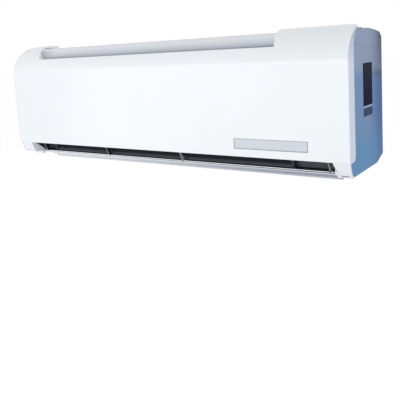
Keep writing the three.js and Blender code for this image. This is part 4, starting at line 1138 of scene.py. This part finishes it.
foot_middle = ((strap_left + strap_right) / 2, strap_front + STRAP_FOOT, strap_top)
strap_screw = screw_head("strap_screw", *foot_middle, (0, 0, 1), 2.8)
strap_step = strap_back - strap_front - 2 * STRAP_FOOT
repeated("strap_screws", strap_screw, 2, 0, zinc_plate, "shaft_steel", back=strap_step)


# Rear chassis and drain tray. Two deep dark mouldings: the scroll and duct floor with the
# bulkheads and back wall, and the tray whose underside is the duct's roof.
dressed(chassis_slate, "rear_chassis")
dressed(duct_charcoal, "drain_tray")


# Control box. A folded galvanised box in the right end with a moulded cover, and in it the
# mains board with its parts, a terminal block, a capacitor and a transformer.
galvanised = Finish("galvanised", Metallic=0.9)
values = {"Vector": galvanised.place, "Scale": 95}
spangle = galvanised.node("ShaderNodeTexVoronoi", values, "Color")
flake = galvanised.node("ShaderNodeSeparateColor", {0: spangle})
galvanised.set(
    Base_Color=galvanised.mix(flake, tone(158, 163, 168), tone(200, 204, 208)),
    Roughness=0.3 + 0.18 * flake + 0.08 * galvanised.noise(30, 3),
    Normal=galvanised.bump(flake, 0.1, 0.00002),
)
dressed(galvanised, "control_box", "mounting_plate")
dressed(satin_grey, "control_box_cover", "terminal_block")
sensor_black = moulded("sensor_black", (36, 37, 42), -5, 5, 0.2, 0.35)
dressed(sensor_black, "capacitor", "room_sensor")
core_steel = metal("core_steel", (92, 94, 100), (140, 142, 146), 0.35, 0.55, 300, (1, 9, 1))
dressed(core_steel, "transformer")
BOARD_FACE = 58.1
relay = block("relay", 334, 346, BOARD_FACE - 9, BOARD_FACE - 0.1, 150, 164)
soften(relay, 0.6)
repeated("board_relays", relay, 4, 16, sensor_black, "sensor_black")
pin = block("pin", 336, 336.8, BOARD_FACE - 3, BOARD_FACE - 0.1, 84, 87)
repeated("board_pins", pin, 22, 2.54, zinc_plate, "shaft_steel", angle=None)
terminal_screw = screw_head("terminal_screw", 342.1, 53.2, 69, (0, -1, 0), 2.6)
repeated("terminal_screws", terminal_screw, 5, 14.2, zinc_plate, "shaft_steel")


# Screw caps. Three small caps moulded in white plastic, each pressed into the underside over
# one of the frame's fixing screws.
for number in (1, 2, 3):
    cap = reworked(f"screw_cap_{number}", f"cap_{number}")
    finished(cap, gloss_white, "panel_white", f"screw_cap_{number}", angle=40)


# Stage, lamps and camera. A pale floor far under the wall-hung unit, soft light from all
# round with one large lamp before the front and one off the right end, and the photograph's
# viewing angle.
FLOOR_HEIGHT = -0.75
FLOOR_SIZE = 30
FLOOR_GLOW = 0.36
FILL = 0.7
SOFTBOX_SIZE = (2.4, 1.2)
CAMERA_PLACE = (0.726, -1.076, 0.095)
YAW, PITCH, ROLL = -0.59537, 0.12146, -0.05384
bm = bmesh.new()
bmesh.ops.create_grid(bm, x_segments=1, y_segments=1, size=FLOOR_SIZE)
bmesh.ops.translate(bm, verts=bm.verts, vec=(0, 0, FLOOR_HEIGHT))
floor = new_piece("floor", bm)
if floor.data.polygons[0].normal.z < 0:
    floor.data.flip_normals()
pale = Finish("pale_floor", Roughness=0.9, Specular_IOR_Level=0.0)
pale.set(
    Base_Color=pale.mix(pale.noise(2, 2), tone(242, 242, 242), tone(245, 245, 245)),
    Emission_Color=(1, 1, 1, 1),
)
seen = pale.node("ShaderNodeLightPath", outlet="Is Camera Ray")
pale.feed(pale.shader.inputs["Emission Strength"], seen * FLOOR_GLOW)
floor.data.materials.append(pale.material)

world = bpy.data.worlds.new("studio")
world.use_nodes = True
bpy.context.scene.world = world
sky = Nodes(world.node_tree)
sky.tree.nodes.clear()
camera_ray, glossy_ray, clear_ray = [
    sky.node("ShaderNodeLightPath", outlet=f"Is {kind} Ray")
    for kind in ("Camera", "Glossy", "Transmission")
]
shown = camera_ray.largest(glossy_ray).largest(clear_ray)
values = {"Color": (1, 1, 1, 1), "Strength": shown * (1 - FILL) + FILL}
backdrop = sky.node("ShaderNodeBackground", values)
world_out = sky.tree.nodes.new("ShaderNodeOutputWorld")
sky.tree.links.new(backdrop.socket, world_out.inputs["Surface"])

for name, watts, place in (
    ("front_softbox", 17, (-0.9, -2.3, 0.0)),
    ("side_softbox", 7, (2.6, -0.5, -0.1)),
):
    lamp_data = bpy.data.lights.new(name, "AREA")
    lamp_data.shape = "RECTANGLE"
    lamp_data.size, lamp_data.size_y = SOFTBOX_SIZE
    lamp_data.energy = watts
    lamp = linked(name, lamp_data)
    lamp.location = place
    lamp.rotation_euler = (-lamp.location).to_track_quat("-Z", "Y").to_euler()

camera_data = bpy.data.cameras.new("photo_view")
camera_data.lens = 49.97
camera_data.sensor_width = 36
camera_data.shift_y = -0.2
camera = linked("photo_view", camera_data)
forward = Vector(
    (math.sin(YAW) * math.cos(PITCH), math.cos(YAW) * math.cos(PITCH), -math.sin(PITCH))
)
level = Vector((math.cos(YAW), -math.sin(YAW), 0))
upright = level.cross(forward)
right = math.cos(ROLL) * level + math.sin(ROLL) * upright
above = -math.sin(ROLL) * level + math.cos(ROLL) * upright
facing = Matrix((right, above, -forward)).transposed().to_4x4()
camera.matrix_world = Matrix.Translation(CAMERA_PLACE) @ facing
bpy.context.scene.camera = camera
bpy.context.scene.view_settings.view_transform = "Standard"
